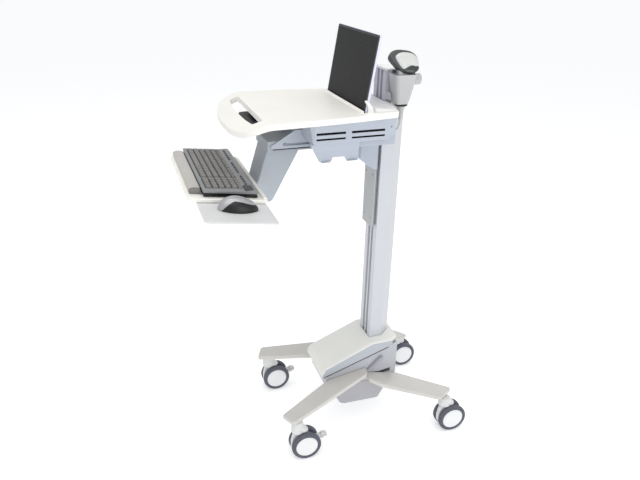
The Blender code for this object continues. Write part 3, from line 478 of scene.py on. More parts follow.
# ---------------------------------------------------------------------- constants
TRAY = Matrix.Translation((0.0, -0.6200, 0.9750)) @ Matrix.Rotation(-math.radians(7.33), 4, 'X')
LIDM = Matrix.Translation((0.0, -0.1550, 1.1480)) @ Matrix.Rotation(-math.radians(9.0), 4, 'X')
TURN_X = Matrix.Rotation(math.pi / 2, 3, 'Y')
TURN_XN = Matrix.Rotation(-math.pi / 2, 3, 'Y')
TURN_Y = Matrix.Rotation(-math.pi / 2, 3, 'X')
I3 = Matrix.Identity(3)

# --------------------------------------------------------------------------- legs
FRONT_LEG = [(0.0783, -0.2080), (0.0950, -0.2440), (0.1675, -0.3925), (0.1730, -0.3970), (0.2185, -0.3765),
             (0.2205, -0.3680), (0.1120, -0.0740), (0.0783, -0.0680)]
FRONT_R = [0, 0.030, 0.004, 0.004, 0.004, 0.004, 0.012, 0]
REAR_LEG = [(0.0783, -0.0660), (0.1180, -0.0700), (0.1500, -0.0380), (0.2260, 0.1420), (0.2250, 0.1560),
            (0.1830, 0.2140), (0.1730, 0.2160), (0.0783, 0.0440)]
REAR_R = [0, 0.012, 0.020, 0.005, 0.006, 0.006, 0.006, 0]


def leg(name, plan, radii, side, front):
    tip_z, slope, tip_y = (0.1663, 0.186, -0.378) if front else (0.155, 0.195, 0.180)
    pts = rounded(plan, radii, 6)
    bm = prism([(side * u, v) for u, v in pts], "XY", -0.0160, 0.0)
    for v in bm.verts:
        away = (v.co.y - tip_y) if front else (tip_y - v.co.y)
        v.co.z += tip_z + slope * away
    make(name + "_finish", bm, M_LEG, "base", (name,), bev=0.0042, seg=4, ang=45)


leg("leg_front_right", FRONT_LEG, FRONT_R, 1, True)
leg("leg_front_left", FRONT_LEG, FRONT_R, -1, True)
leg("leg_rear_right", REAR_LEG, REAR_R, 1, False)
leg("leg_rear_left", REAR_LEG, REAR_R, -1, False)


# --------------------------------------------------------------------------- base
def seam(y):
    return 0.2098 + (y + 0.230) * 0.357


def column_plan(grow=0.0, grooves=True, fillet=0.0):
    gx, gb = 0.0440 + grow, -0.0460 - grow
    k = 0.0120 + grow * 0.4
    pts, rad = [], []
    if grooves:
        pts = [(0.0045, gb), (0.0045, -0.0310), (0.0200, -0.0310), (0.0200, gb)]
        rad = [fillet * 0.4, 0, 0, fillet * 0.4]
    pts += [(gx, gb), (gx, -0.0040 + grow * 0.4), (k, 0.0335 + grow)]
    rad += [fillet, fillet * 1.6, fillet * 1.3]
    full = pts + [(-u, v) for u, v in reversed(pts)]
    radii = rad + list(reversed(rad))
    return rounded(full, radii, 5) if fillet else full


side = [(-0.2150, 0.1660), (0.0480, 0.1660), (0.0480, seam(0.0480) - 0.0008), (-0.2150, seam(-0.2150) - 0.0008)]
recess = [(-0.0560, 0.1985), (-0.0180, 0.1960), (0.0260, 0.2040), (0.0270, 0.1880), (-0.0060, 0.1830),
          (-0.0300, 0.1900)]
make("base_housing_finish", prism(side, "YZ", -0.0780, 0.0780), M_HOUSE, "base", ("base_housing",),
     bev=0.0030, seg=3, cuts=[block((-0.0720, -0.2070, 0.2045), (0.0720, 0.0420, 0.4000)),
                              prism(recess, "YZ", 0.0725, 0.0900), prism(recess, "YZ", -0.0900, -0.0725)])
# painted shade: a dark sheet on the floor of the housing recess behind each leg root, standing in for the shade in that
# recess
for sgn, word in ((1, "right"), (-1, "left")):
    lo, hi = sorted((sgn * 0.0722, sgn * 0.0745))
    inner = [(-0.0540, 0.1978), (-0.0180, 0.1955), (0.0250, 0.2030), (0.0260, 0.1890), (-0.0060, 0.1840),
             (-0.0290, 0.1905)]
    make("leg_joint_painted_shade_" + word, prism(inner, "YZ", lo, hi), M_KBDARK, "base", bev=0.0005, seg=1)


def cover_ring(y, half, top, shoulder_x, shoulder_z, n=7):
    """Cross-section of the cover at one y: base line, side, shoulder, crowned top."""
    z0 = seam(y)
    right = [(half - 0.0030, z0 + 0.0006), (half - 0.0003, z0 + 0.0030), (half, z0 + 0.0060),
             (half - 0.0002, shoulder_z - 0.0020), (half - 0.0022, shoulder_z + 0.0012)]
    # the shoulder band runs from the side's top edge to the flat top's edge
    for t in (0.15, 0.5, 0.85):
        right.append((half - 0.0022 + (shoulder_x - half + 0.0022) * t,
                      shoulder_z + 0.0012 + (top - 0.0022 - shoulder_z - 0.0012) * t))
    right += [(shoulder_x - 0.0008, top - 0.0010), (shoulder_x - 0.0040, top - 0.0001)]
    for k in range(1, n):
        x = (shoulder_x - 0.0040) * (1 - k / n)
        right.append((x, top + 0.0006 * (1 - (x / shoulder_x) ** 2)))
    ring = right + [(0.0, top + 0.0006)] + [(-x, z) for x, z in reversed(right)]
    return [(x, y, z) for x, z in ring]


rings = []
stations = []
for k in range(0, 29):
    stations.append(-0.2300 + k * 0.0100)
for y in stations:
    t = (y + 0.2300) / 0.2800
    top_line = 0.2430 + (min(y, -0.048) + 0.222) * (0.3220 - 0.2430) / 0.174 + max(0.0, y + 0.048) * 0.031
    half = 0.0850
    nose = max(0.0, 1.0 - (y + 0.2300) / 0.0100)
    if y > 0.0150:
        half = 0.0850 - (y - 0.0150) * (0.0850 - 0.0450) / 0.0350 * 0.62
    sweep = min(1.0, max(0.0, (y + 0.225) / 0.165))
    sweep = sweep * sweep * (3 - 2 * sweep)
    inset = 0.0032 + 0.0030 * sweep
    top = top_line - 0.0090 * nose ** 1.6
    drop = 0.0042 + 0.0020 * sweep
    rings.append(cover_ring(y, half, top, half - inset, top - drop))
front = [(x * 0.985, y - 0.0012, z if z < seam(-0.23) + 0.004 else z - 0.0022) for x, y, z in rings[0]]
cover_bm = loft([front] + rings)
cover = make("base_cover_finish", cover_bm, M_COVER, "base", ("base_cover",),
     cuts=[prism(column_plan(0.0009, False), "XY", 0.2400, 0.4000)], post=0.0012, post_seg=2, post_ang=50, smooth=26)
# painted shade: cover faces that face sideways get the darker copy of the cover colour
cover.data.materials.append(M_COVER_SIDE_SHADE)
for p in cover.data.polygons:
    if abs(p.normal.x) > 0.80 and abs(p.center.x - OFF.x) > 0.060:
        p.material_index = 1


# painted shadow: a thin dark strip along the seam under the cover's lower edge, standing in for the shadow the
# overhanging cover casts on the housing
seam_shadow_strip = [(-0.2240, seam(-0.2240) - 0.0012), (0.0120, seam(0.0120) - 0.0012), (0.0120, seam(0.0120) + 0.0012),
          (-0.2240, seam(-0.2240) + 0.0012)]
for sgn, word in ((1, "right"), (-1, "left")):
    lo, hi = sorted((sgn * 0.0776, sgn * 0.0846))
    make("cover_seam_shadow_strip_" + word, prism(seam_shadow_strip, "YZ", lo, hi), M_KBDARK, "base", bev=0.0003, seg=1)


def ring_xy(lo, hi, r, z, seg=6, dx=0.0, dy=0.0):
    return [(x + dx, y + dy, z) for x, y in rect(lo, hi, r, seg)]


tub_hi = 0.1657
make("base_tub_finish", loft([
    ring_xy((-0.0645, -0.1490), (0.0645, -0.0060), 0.0130, 0.0700),
    ring_xy((-0.0665, -0.1512), (0.0665, -0.0035), 0.0140, 0.0707),
    ring_xy((-0.0680, -0.1530), (0.0680, -0.0018), 0.0150, 0.0725),
    ring_xy((-0.0690, -0.1545), (0.0690, -0.0002), 0.0155, 0.0755),
    ring_xy((-0.0775, -0.2045), (0.0775, 0.0396), 0.0170, tub_hi - 0.0010),
    ring_xy((-0.0768, -0.2040), (0.0768, 0.0390), 0.0165, tub_hi)]), M_TUB, "base", ("base_tub",),
     smooth=40)

clip_pts = rounded([(-0.0655, 0.2150), (-0.0600, 0.2110), (-0.0060, 0.2550), (-0.0100, 0.2640), (-0.0180, 0.2620)],
                   [0.0030, 0.0030, 0.0030, 0.0030, 0.0060], 4)
make("side_clip_finish", prism(clip_pts, "YZ", 0.0787, 0.0910), M_CLIP, "base", ("side_clip",),
     bev=0.0016, seg=3)

# ------------------------------------------------------------------------- column
make("column_finish", prism(column_plan(0.0, True, 0.0022), "XY", 0.2048, 1.2350), M_COL, "base", ("column",),
     cuts=[prism(rect((-0.0280, -0.0265), (0.0280, 0.0110), 0.0020, 3), "XY", 0.1, 1.4)],
     smooth=28)
# painted shade: dark strips at the bottom of the two front grooves, for the shade inside the grooves
for sgn, word in ((1, "right"), (-1, "left")):
    lo, hi = sorted((sgn * 0.0047, sgn * 0.0198))
    make("column_groove_painted_shade_" + word, prism([(lo, -0.0309), (hi, -0.0309), (hi, -0.0303), (lo, -0.0303)], "XY",
                                              0.2060, 1.2340), M_GROOVE_SHADE, "base")
make("column_cap_finish", prism(column_plan(0.0004, False, 0.0030), "XY", 1.2353, 1.2431), M_TOP_COOL, "base",
     ("column_cap",), bev=0.0022, seg=4, ang=55)
paint_cad("lift_spring", M_STEEL)


# ------------------------------------------------------------------------ casters
def caster(tag, x, y, trail, neck_top, front):
    swivel, roll, pedal = "swivel_" + tag, "wheels_" + tag, "brake_" + tag
    yw, wz = y + trail, 0.0508
    shell = rounded([(-0.0470, 0.0350), (-0.0120, 0.0320), (0.0060, 0.0340), (0.0135, 0.0440), (0.0135, 0.0700),
                     (0.0060, 0.0950), (-0.0020, 0.1045), (-0.0330, 0.1045), (-0.0430, 0.0880), (-0.0480, 0.0620)],
                    [0.004, 0.006, 0.006, 0.006, 0.008, 0.008, 0.006, 0.008, 0.010, 0.010], 5)
    neck = [(0.0, 0.0985), (0.0150, 0.0985), (0.0183, 0.1010), (0.0185, 0.1035), (0.0178, 0.1065), (0.0158, 0.1110),
            (0.0139, 0.1155), (0.0128, 0.1200), (0.0125, neck_top - 0.0015), (0.0118, neck_top), (0.0, neck_top)]
    make("caster_%s_housing_finish" % tag, prism([(yw + u, v) for u, v in shell], "YZ", x - 0.0080, x + 0.0080),
         M_CAST, swivel, ("caster_%s_housing" % tag,), bev=0.0024, seg=3, ang=50,
         unions=[lathe(neck, (x, y, 0.0), I3, 48)],
         cuts=[lathe([(0.0, -0.02), (0.0043, -0.02), (0.0043, 0.02), (0.0, 0.02)], (x, yw, wz), TURN_X, 24)],
         smooth=34)
    c0, top = y - yw, 0.1455 if front else 0.1325
    cowl = [(-0.0470, 0.0085, 0.0150, 0.1036, 0.0140), (-0.0478, 0.0100, 0.0156, 0.1052, 0.0145),
            (-0.0478, 0.0085, 0.0160, 0.1100, 0.0150), (c0 - 0.0205, 0.0015, 0.0172, 0.1180, 0.0160),
            (c0 - 0.0195, c0 + 0.0205, 0.0182, 0.1235 if not front else 0.1270, 0.0178),
            (c0 - 0.0185, c0 + 0.0185, 0.0180, top - 0.0045, 0.0176), (c0 - 0.0172, c0 + 0.0172, 0.0172, top - 0.0018, 0.0170),
            (c0 - 0.0150, c0 + 0.0150, 0.0150, top, 0.0148)]
    make("caster_%s_cowl" % tag, loft([[(x + u, yw + v, z) for u, v in rect((-h, v0), (h, v1), r, 7)]
                                       for v0, v1, h, z, r in cowl]), M_CAST, swivel, smooth=46, weighted=False)
    paint_cad("caster_%s_axle" % tag, M_STEEL)
    tyre = [(0.0050, 0.0100), (0.0300, 0.0100), (0.0430, 0.0097), (0.0470, 0.0105), (0.0495, 0.0128),
            (0.0506, 0.0155), (0.0508, 0.0182), (0.0507, 0.0212), (0.0500, 0.0242), (0.0482, 0.0268),
            (0.0455, 0.0282), (0.0425, 0.0287), (0.0400, 0.0285), (0.0390, 0.0278), (0.0386, 0.0262),
            (0.0386, 0.0240), (0.0050, 0.0240)]
    hub = [(0.0, 0.0298), (0.0080, 0.02972), (0.0160, 0.02945), (0.0230, 0.0289), (0.0290, 0.0282), (0.0335, 0.0276),
           (0.0362, 0.0272), (0.0374, 0.0266), (0.0379, 0.0256), (0.0380, 0.0242), (0.0, 0.0242)]
    inner = [(0.0052, 0.0092), (0.0120, 0.0090), (0.0125, 0.0100), (0.0340, 0.0098), (0.0345, 0.0104), (0.0345, 0.0120),
             (0.0052, 0.0120)]
    for word, turn in (("right", TURN_X), ("left", TURN_XN)):
        make("caster_%s_tyre_%s" % (tag, word), lathe(tyre, (x, yw, wz), turn, 96), M_TYRE, roll,
             ("caster_%s_wheel_%s" % (tag, word),), smooth=36)
        make("caster_%s_hubcap_%s" % (tag, word), lathe(hub, (x, yw, wz), turn, 72), M_HUB, roll, smooth=36)
        make("caster_%s_hub_inside_%s" % (tag, word), lathe(inner, (x, yw, wz), turn, 48), M_CAST, roll, smooth=36)
    if front:
        side = rounded([(0.0165, 0.0600), (0.0500, 0.0600), (0.0550, 0.0560), (0.0620, 0.0560), (0.0760, 0.0650),
                        (0.0770, 0.0720), (0.0580, 0.0780), (0.0520, 0.0720), (0.0165, 0.0680)],
                       [0.001, 0.004, 0.003, 0.004, 0.004, 0.003, 0.004, 0.004, 0.001], 4)
        make("caster_%s_brake_pedal_finish" % tag, prism([(yw + u, v) for u, v in side], "YZ", x - 0.0070, x + 0.0070),
             M_CAST, pedal, ("caster_%s_brake_pedal" % tag,), bev=0.0016, seg=3, ang=45,
             unions=[prism(rect((x - 0.0125, yw + 0.0560), (x + 0.0125, yw + 0.0755), 0.0045, 5), "XY", 0.0658, 0.0716)])


caster("front_right", 0.1925, -0.353, 0.0270, 0.1520, True)
caster("front_left", -0.1925, -0.353, 0.0270, 0.1520, True)
caster("rear_right", 0.2010, 0.187, 0.0235, 0.1345, False)
caster("rear_left", -0.2010, 0.187, 0.0235, 0.1345, False)

# ------------------------------------------------------------------ head: brackets
paint_cad("carriage", M_CARRF)
make("carriage_cover_finish", prism(rect((-0.0400, 0.7400), (0.0400, 0.9385), 0.0030, 4), "XZ", -0.0615, -0.0563),
     M_CARR, "head", ("carriage_cover",), bev=0.0014, seg=3, ang=50)
gusset = rounded([(-0.0563, 0.9390), (-0.0665, 0.9390), (-0.0855, 0.9510), (-0.1120, 0.9740), (-0.1135, 0.9780),
                  (-0.1135, 1.0497), (-0.0563, 1.0497)], [0, 0.004, 0.010, 0.004, 0.003, 0, 0], 5)
gusset_in = [(-0.0520, 0.9430), (-0.0675, 0.9430), (-0.0840, 0.9540), (-0.1092, 0.9760), (-0.1100, 0.9780),
             (-0.1100, 1.0450), (-0.0520, 1.0450)]
make("head_bracket_finish", prism(gusset, "YZ", -0.0450, 0.0450), M_BAY, "head", ("head_bracket",),
     bev=0.0018, seg=3, ang=50, cuts=[prism(gusset_in, "YZ", -0.0410, 0.0410)])
make("bay_bracket_finish", prism(rect((-0.1780, 1.0500), (-0.0563, 1.0905), 0.0020, 3), "YZ", -0.1550, 0.1550), M_BAY,
     "head", ("bay_bracket",), bev=0.0015, seg=2, ang=50,
     cuts=[block((a, -0.1740, 1.0000), (b, -0.0620, 1.0865)) for a, b in
           ((-0.1515, -0.0480), (-0.0415, 0.0415), (0.0480, 0.1515))])

# -------------------------------------------------------------------- work surface
ws_curve = catmull([(0.0, -0.5270), (0.0450, -0.5262), (0.0850, -0.5235), (0.1200, -0.5190), (0.1500, -0.5125),
                    (0.1720, -0.5050), (0.1880, -0.4955), (0.2000, -0.4830), (0.2085, -0.4680), (0.2130, -0.4500),
                    (0.2150, -0.4300), (0.2145, -0.4050), (0.2120, -0.3700), (0.2080, -0.3150), (0.2025, -0.2550),
                    (0.1965, -0.2000), (0.1895, -0.1500), (0.1805, -0.0950)], 4)
ws_half = ws_curve[:-1] + rounded([(0.1805, -0.0950), (0.1780, -0.0730), (0.1750, -0.0630), (0.1700, -0.0584),
                                   (0.0455, -0.0315), (0.0455, -0.0485)], [0, 0.012, 0.006, 0.006, 0.002, 0], 4)
ws_line = catmull([(-0.6000, -0.0670), (-0.5200, -0.0330), (-0.4950, -0.0206), (-0.4750, -0.0124),
                   (-0.4580, -0.0058), (-0.4420, -0.0014), (-0.4280, 0.0)], 3) + [(0.1, 0.0)]
ws_side = [(u, 1.1320 + v) for u, v in ws_line] + [(u, 1.1480 + v) for u, v in reversed(ws_line)]


def intersected(a_bm, b_bm):
    """The common part of two solids, as a new mesh."""
    a = to_object(a_bm, "common_a")
    b = to_object(b_bm, "common_b")
    m = a.modifiers.new("common", 'BOOLEAN')
    m.operation = 'INTERSECT'
    m.solver = 'EXACT'
    m.object = b
    bake_modifiers(a)
    out = bmesh.new()
    out.from_mesh(a.data)
    for ob in (a, b):
        me = ob.data
        bpy.data.objects.remove(ob, do_unlink=True)
        bpy.data.meshes.remove(me)
    return out


slot_arc = catmull([(-0.0900, -0.4795), (0.0, -0.4815), (0.0900, -0.4795)], 6)
hand_slot = rounded([(-0.1600, -0.4460), (-0.1540, -0.4740)] + slot_arc + [(0.1540, -0.4740), (0.1600, -0.4460)],
                    [0.0070, 0.0090] + [0.0] * len(slot_arc) + [0.0090, 0.0070], 6)
ws_solid = intersected(prism(mirror_x(ws_half), "XY", 1.0500, 1.2500), prism(ws_side, "YZ", -0.3, 0.3))
bead = rounded([(-0.1655, 1.1400), (-0.1655, 1.1485), (-0.1640, 1.1515), (-0.1620, 1.1528), (-0.1600, 1.1528),
                (-0.1590, 1.1518), (-0.1590, 1.1400)], [0, 0.001, 0.002, 0.002, 0.001, 0.001, 0], 3)
make("worksurface_finish", ws_solid, M_TOP, "head", ("worksurface",),
     bev=0.0050, seg=5, ang=62,
     cuts=[prism(hand_slot, "XY", 1.0, 1.3),
           prism(rect((-0.1640, -0.1590), (0.1640, -0.1365), 0.0015, 2), "XY", 1.0, 1.3)],
     post=0.0020, post_seg=4, post_ang=60, smooth=28)
make("worksurface_slot_bead", prism(bead, "YZ", -0.1600, 0.1600), M_TOP, "head", bev=0.0008, seg=2)
rc_half = [(0.0, -0.1310)] + rounded([(0.1560, -0.1310), (0.1660, -0.1250), (0.1690, -0.0780), (0.1640, -0.0660),
                                      (0.0530, -0.0420), (0.0530, -0.0500)], [0.006, 0.006, 0.006, 0.006, 0.001, 0], 4)
rc_side = [(-0.1400, 1.1483), (0.0, 1.1483), (0.0, 1.1500), (-0.0400, 1.1500), (-0.1150, 1.1580), (-0.1400, 1.1600)]
make("rear_cover_finish", intersected(prism(mirror_x(rc_half), "XY", 1.1000, 1.2000),
                                      prism(rc_side, "YZ", -0.3, 0.3)), M_TOP_COOL, "head", ("rear_cover",),
     bev=0.0013, seg=4, ang=50)

hook = rounded([(-0.1500, 1.1470), (-0.1480, 1.1560), (-0.1500, 1.1660), (-0.1600, 1.1795), (-0.1590, 1.1818),
                (-0.1550, 1.1828), (-0.1420, 1.1720), (-0.1330, 1.1590), (-0.1315, 1.1470)],
               [0, 0.003, 0.006, 0.001, 0.001, 0.001, 0.006, 0.003, 0], 4)
make("lid_end_hook", prism(hook, "YZ", 0.1610, 0.1650), M_TOP_COOL, "head", bev=0.0010, seg=2)

# -------------------------------------------------------------------- lift release
make("lever_housing_finish", prism(rect((-0.4280, 1.0990), (-0.4080, 1.1317), 0.0020, 3), "YZ", -0.0820, 0.0820),
     M_BLACK, "head", ("lever_housing",), bev=0.0016, seg=3)
lever = rounded([(-0.4620, 1.1040), (-0.4560, 1.1020), (-0.4300, 1.1050), (-0.4290, 1.1160), (-0.4400, 1.1175),
                 (-0.4600, 1.1165), (-0.4630, 1.1130)], [0.002, 0.003, 0.002, 0.002, 0.002, 0.002, 0.002], 4)
make("lift_lever_finish", prism(lever, "YZ", -0.0780, 0.0780), M_BLACK, "lift_lever", ("lift_lever",),
     bev=0.0020, seg=3)


# ---------------------------------------------------------------------- laptop bay
def bay_side(name, sx):
    plan = [(0.1600, -0.0640), (0.1700, -0.0640), (0.1700, -0.3040), (0.1610, -0.3200), (0.1560, -0.3200),
            (0.1560, -0.2995), (0.1600, -0.2960)]
    plan = rounded(plan, [0, 0.0015, 0.0040, 0.0015, 0.0, 0.002, 0.002], 4)
    side = rounded([(-0.3170, 1.1317), (-0.3075, 1.0700), (-0.0840, 1.0700), (-0.0780, 1.0815), (-0.0640, 1.0815),
                    (-0.0640, 1.1317)], [0, 0.0030, 0.002, 0.002, 0.002, 0], 3)
    a, b = sorted((sx * 0.1500, sx * 0.1800))
    slots = []
    for z0, z1 in ((1.0956, 1.1024), (1.0808, 1.0862)):
        for y0, y1 in ((-0.2990, -0.2135), (-0.1960, -0.0965)):
            slots.append(prism(rect((y0, z0), (y1, z1), 0.0012, 4), "YZ", a, b))
    panel = intersected(prism([(sx * u, v) for u, v in plan], "XY", 1.0500, 1.1500), prism(side, "YZ", a, b))
    make(name + "_finish", panel, M_BAY, "head", (name,), bev=0.0012, seg=3, ang=50, cuts=slots,
         post=0.0005, post_seg=2, post_ang=60)
    # painted shade: dark plates set into the four vent slots of each side, standing in for the shade behind the slots
    a, b = sorted((sx * 0.1655, sx * 0.1684))
    k = 0
    for z0, z1 in ((1.0954, 1.1026), (1.0806, 1.0864)):
        for y0, y1 in ((-0.2992, -0.2133), (-0.1962, -0.0963)):
            k += 1
            make("%s_vent_painted_shade_%d" % (name, k), prism(rect((y0, z0), (y1, z1), 0.0013, 4), "YZ", a, b), M_BAY_SHADE, "head",
                 bev=0.0002, seg=1)
    a, b = sorted((sx * 0.0765, sx * 0.1600))
    make(name + "_return", prism(rounded([(-0.3145, 1.1180), (-0.3081, 1.0702), (-0.3040, 1.0702), (-0.3040, 1.1180)],
                                         0.0008, 2), "YZ", a, b), M_BAY, "head", bev=0.0006, seg=2)
    a, b = sorted((sx * 0.0003, sx * 0.0772))
    make(name + "_front_centre", prism(rounded([(-0.3145, 1.1180), (-0.3109, 1.0912), (-0.3040, 1.0912),
                                                (-0.3040, 1.1180)], 0.0008, 2), "YZ", a, b), M_BAY, "head",
         bev=0.0006, seg=2)
    # painted shade: near-black sheets on the inner face of each bay side, for the shade inside the bay
    a, b = sorted((sx * 0.1590, sx * 0.1599))
    make(name + "_liner", prism(rect((-0.3020, 1.0720), (-0.0900, 1.0903), 0.0020, 2), "YZ", a, b), M_BAY_SHADE, "head",
         bev=0.0002, seg=1)
    make(name + "_painted_shade_sheet_top", prism(rect((-0.3060, 1.0949), (-0.0800, 1.1300), 0.0020, 2), "YZ", a, b), M_BAY_SHADE,
         "head", bev=0.0002, seg=1)


bay_side("bay_side_right", 1)
bay_side("bay_side_left", -1)
make("laptop_tray_finish", prism(rect((-0.1586, -0.3018), (0.1586, -0.0800), 0.0060, 5), "XY", 1.0908, 1.0944), M_BAY,
     "head", ("laptop_tray",), bev=0.0010, seg=2,
     cuts=[prism(rect((x0, -0.2800), (x0 + 0.0160, -0.1300), 0.0079, 8), "XY", 1.0, 1.2)
           for x0 in (-0.1280, -0.0880, 0.0720, 0.1120)])
make("laptop_base_finish", prism(rect((-0.1580, -0.3008), (0.1580, -0.1500), 0.0090, 8), "XY", 1.0950, 1.1104),
     M_LAPTOP, "head", ("laptop_base",), bev=0.0032, seg=4,
     cuts=[block((-0.0450, -0.2900, 1.1098), (0.0450, -0.2400, 1.1200))])

# --------------------------------------------------------------------- laptop lid
lid_plan = rect((-0.15825, -0.0350), (0.15825, 0.2064), 0.0065, 8)
make("laptop_lid_shell", prism(lid_plan, "XZ", 0.0006, 0.0070), M_LIDBACK, "lid", ("laptop_lid",),
     bev=0.0016, seg=4, M=LIDM)
bez = prism(rect((-0.1570, -0.0340), (0.1555, 0.2052), 0.0055, 8), "XZ", 0.0000, 0.0012)
make("laptop_lid_bezel", bez, M_BEZEL, "lid", bev=0.0004, seg=2, M=LIDM,
     cuts=[prism(rect((-0.1490, -0.0250), (0.1490, 0.1990), 0.0010, 2), "XZ", -0.0100, 0.0006)])
make("laptop_lid_screen", prism(rect((-0.1492, -0.0252), (0.1492, 0.1992), 0.0010, 2), "XZ", 0.0003, 0.0011),
     M_SCREEN, "lid", bev=0.0001, seg=1, M=LIDM)
for i, x0 in enumerate((-0.0600, 0.0000, 0.0600)):
    w = 0.0060 if i != 1 else 0.0040
    make("laptop_lid_latch_%d" % (i + 1), prism(rect((x0 - w, 0.2012), (x0 + w, 0.2036), 0.0010, 3), "XZ", -0.0006,
                                                0.0004), M_BLACK, "lid", bev=0.0002, seg=1, M=LIDM)

# -------------------------------------------------- keyboard arm and its channel
cheek = rounded([(-0.4010, 1.0385), (-0.2380, 1.0385), (-0.2380, 1.0904), (-0.3300, 1.0904), (-0.4030, 1.0480)],
                [0.002, 0.001, 0, 0.004, 0.002], 4)
channel_cuts = [block((-0.0717, -0.5000, 1.0000), (0.0717, -0.1000, 1.0868)),
                prism(rect((-0.3660, 1.0466), (-0.2690, 1.0534), 0.0033, 6), "YZ", -0.1, 0.1)]
make("arm_channel_finish", prism(cheek, "YZ", -0.0750, 0.0750), M_BAY, "head", ("arm_channel",),
     bev=0.0008, seg=2, cuts=channel_cuts, post=0.0004, post_seg=1, post_ang=60)

arm_side = rounded([(-0.4100, 1.0340), (-0.4565, 0.8780), (-0.4500, 0.8720), (-0.4000, 0.8720), (-0.3930, 0.8780),
                    (-0.3085, 1.0340)], [0, 0.006, 0.004, 0.004, 0.006, 0], 5)
arm_in = [(-0.4010, 1.0560), (-0.4065, 1.0331), (-0.4525, 0.8787), (-0.4480, 0.8750), (-0.3800, 0.8750),
          (-0.2900, 0.9900), (-0.2900, 1.0270), (-0.3150, 1.0270), (-0.3150, 1.0560)]
make("keyboard_arm_finish", prism(arm_side, "YZ", -0.0550, 0.0550), M_ARM, "arm", ("keyboard_arm",),
     bev=0.0050, seg=4, ang=45,
     unions=[block((-0.0700, -0.4115, 1.0300), (0.0700, -0.3070, 1.0600)),
             block((0.0560, -0.3100, 1.0300), (0.0700, -0.2680, 1.0600)),
             block((-0.0700, -0.3100, 1.0300), (-0.0560, -0.2680, 1.0600))],
     cuts=[prism(arm_in, "YZ", -0.0510, 0.0510),
           lathe([(0.0, -0.2), (0.0030, -0.2), (0.0030, 0.2), (0.0, 0.2)], (0.0, -0.3620, 1.0500), TURN_X, 24),
           lathe([(0.0, -0.2), (0.0043, -0.2), (0.0043, 0.2), (0.0, 0.2)], (0.0, -0.4345, 0.8880), TURN_X, 24)],
     post=0.0012, post_seg=2, post_ang=70, smooth=34)


# painted shadow: thin black strips under the bottom edge of each channel cheek, standing in for the shadow gap between
# cheek and arm
for sgn, word in ((1, "right"), (-1, "left")):
    a, b = sorted((sgn * 0.0712, sgn * 0.0753))
    make("channel_gap_painted_shadow_" + word, prism(rect((-0.3965, 1.0358), (-0.2860, 1.0384), 0.0008, 3), "YZ", a, b), M_RUBBER,
         "head", bev=0.0004, seg=2)


def pin(name, cx, y, z, half, r, head_r, body):
    prof = [(0.0, -half), (head_r * 0.8, -half), (head_r, -half + 0.0006), (head_r, -half + 0.0012),
            (r, -half + 0.0013), (r, half - 0.0013), (head_r, half - 0.0012), (head_r, half - 0.0006),
            (head_r * 0.8, half), (0.0, half)]
    return lathe(prof, (cx, y, z), TURN_X, 32)


make("arm_guide_pin_finish", pin("p", 0.0, -0.3620, 1.0500, 0.0785, 0.0027, 0.0040, "arm"), M_STEEL, "arm",
     ("arm_guide_pin",))
make("tray_hinge_pin_finish", pin("p", 0.0, -0.4345, 0.8880, 0.0605, 0.0040, 0.0056, "arm"), M_STEEL, "arm",
     ("tray_hinge_pin",))

# ---------------------------------------------------------------- keyboard tray
tray_plan = rounded([(-0.2050, -0.0410), (0.2060, -0.0410), (0.2060, 0.1810), (-0.2050, 0.1810)],
                    [0.0300, 0.0220, 0.0180, 0.0180], 12)
make("keyboard_tray_finish", prism(tray_plan, "XY", -0.0262, -0.0150), M_TRAY, "tray", ("keyboard_tray",),
     bev=0.0034, seg=4, ang=50, M=TRAY)
rail_plan = rect((-0.1950, 0.1650), (0.2000, 0.1740), 0.0030, 5)
make("keyboard_tray_rail", prism(rail_plan, "XY", -0.0152, -0.0105), M_TRAY, "tray", bev=0.0018, seg=3, ang=50,
     M=TRAY)
py, pz = -0.4345, 0.8880
ear = rounded([(-0.5450, 0.9290), (-0.5150, 0.9050), (py - 0.0040, pz - 0.0120), (py + 0.0060, pz - 0.0110),
               (py + 0.0120, pz - 0.0030), (py + 0.0110, pz + 0.0070), (py + 0.0020, pz + 0.0130),
               (-0.4900, 0.9230)], [0.004, 0.006, 0.005, 0.005, 0.005, 0.005, 0.005, 0.004], 4)
inv = TRAY.inverted()


def in_tray(bm):
    bmesh.ops.transform(bm, matrix=inv, verts=bm.verts[:])
    return bm


make("tray_hinge_bracket_finish", block((-0.0595, 0.0600, -0.0366), (0.0595, 0.1500, -0.0265)), M_ARM, "tray",
     ("tray_hinge_bracket",), bev=0.0012, seg=2, M=TRAY,
     unions=[block((0.0500, 0.0640, -0.0362), (0.2000, 0.1300, -0.0323)),
             in_tray(prism(ear, "YZ", 0.0560, 0.0588)), in_tray(prism(ear, "YZ", -0.0588, -0.0560))],
     cuts=[in_tray(lathe([(0.0, -0.2), (0.0043, -0.2), (0.0043, 0.2), (0.0, 0.2)], (0.0, py, pz), TURN_X, 24))])

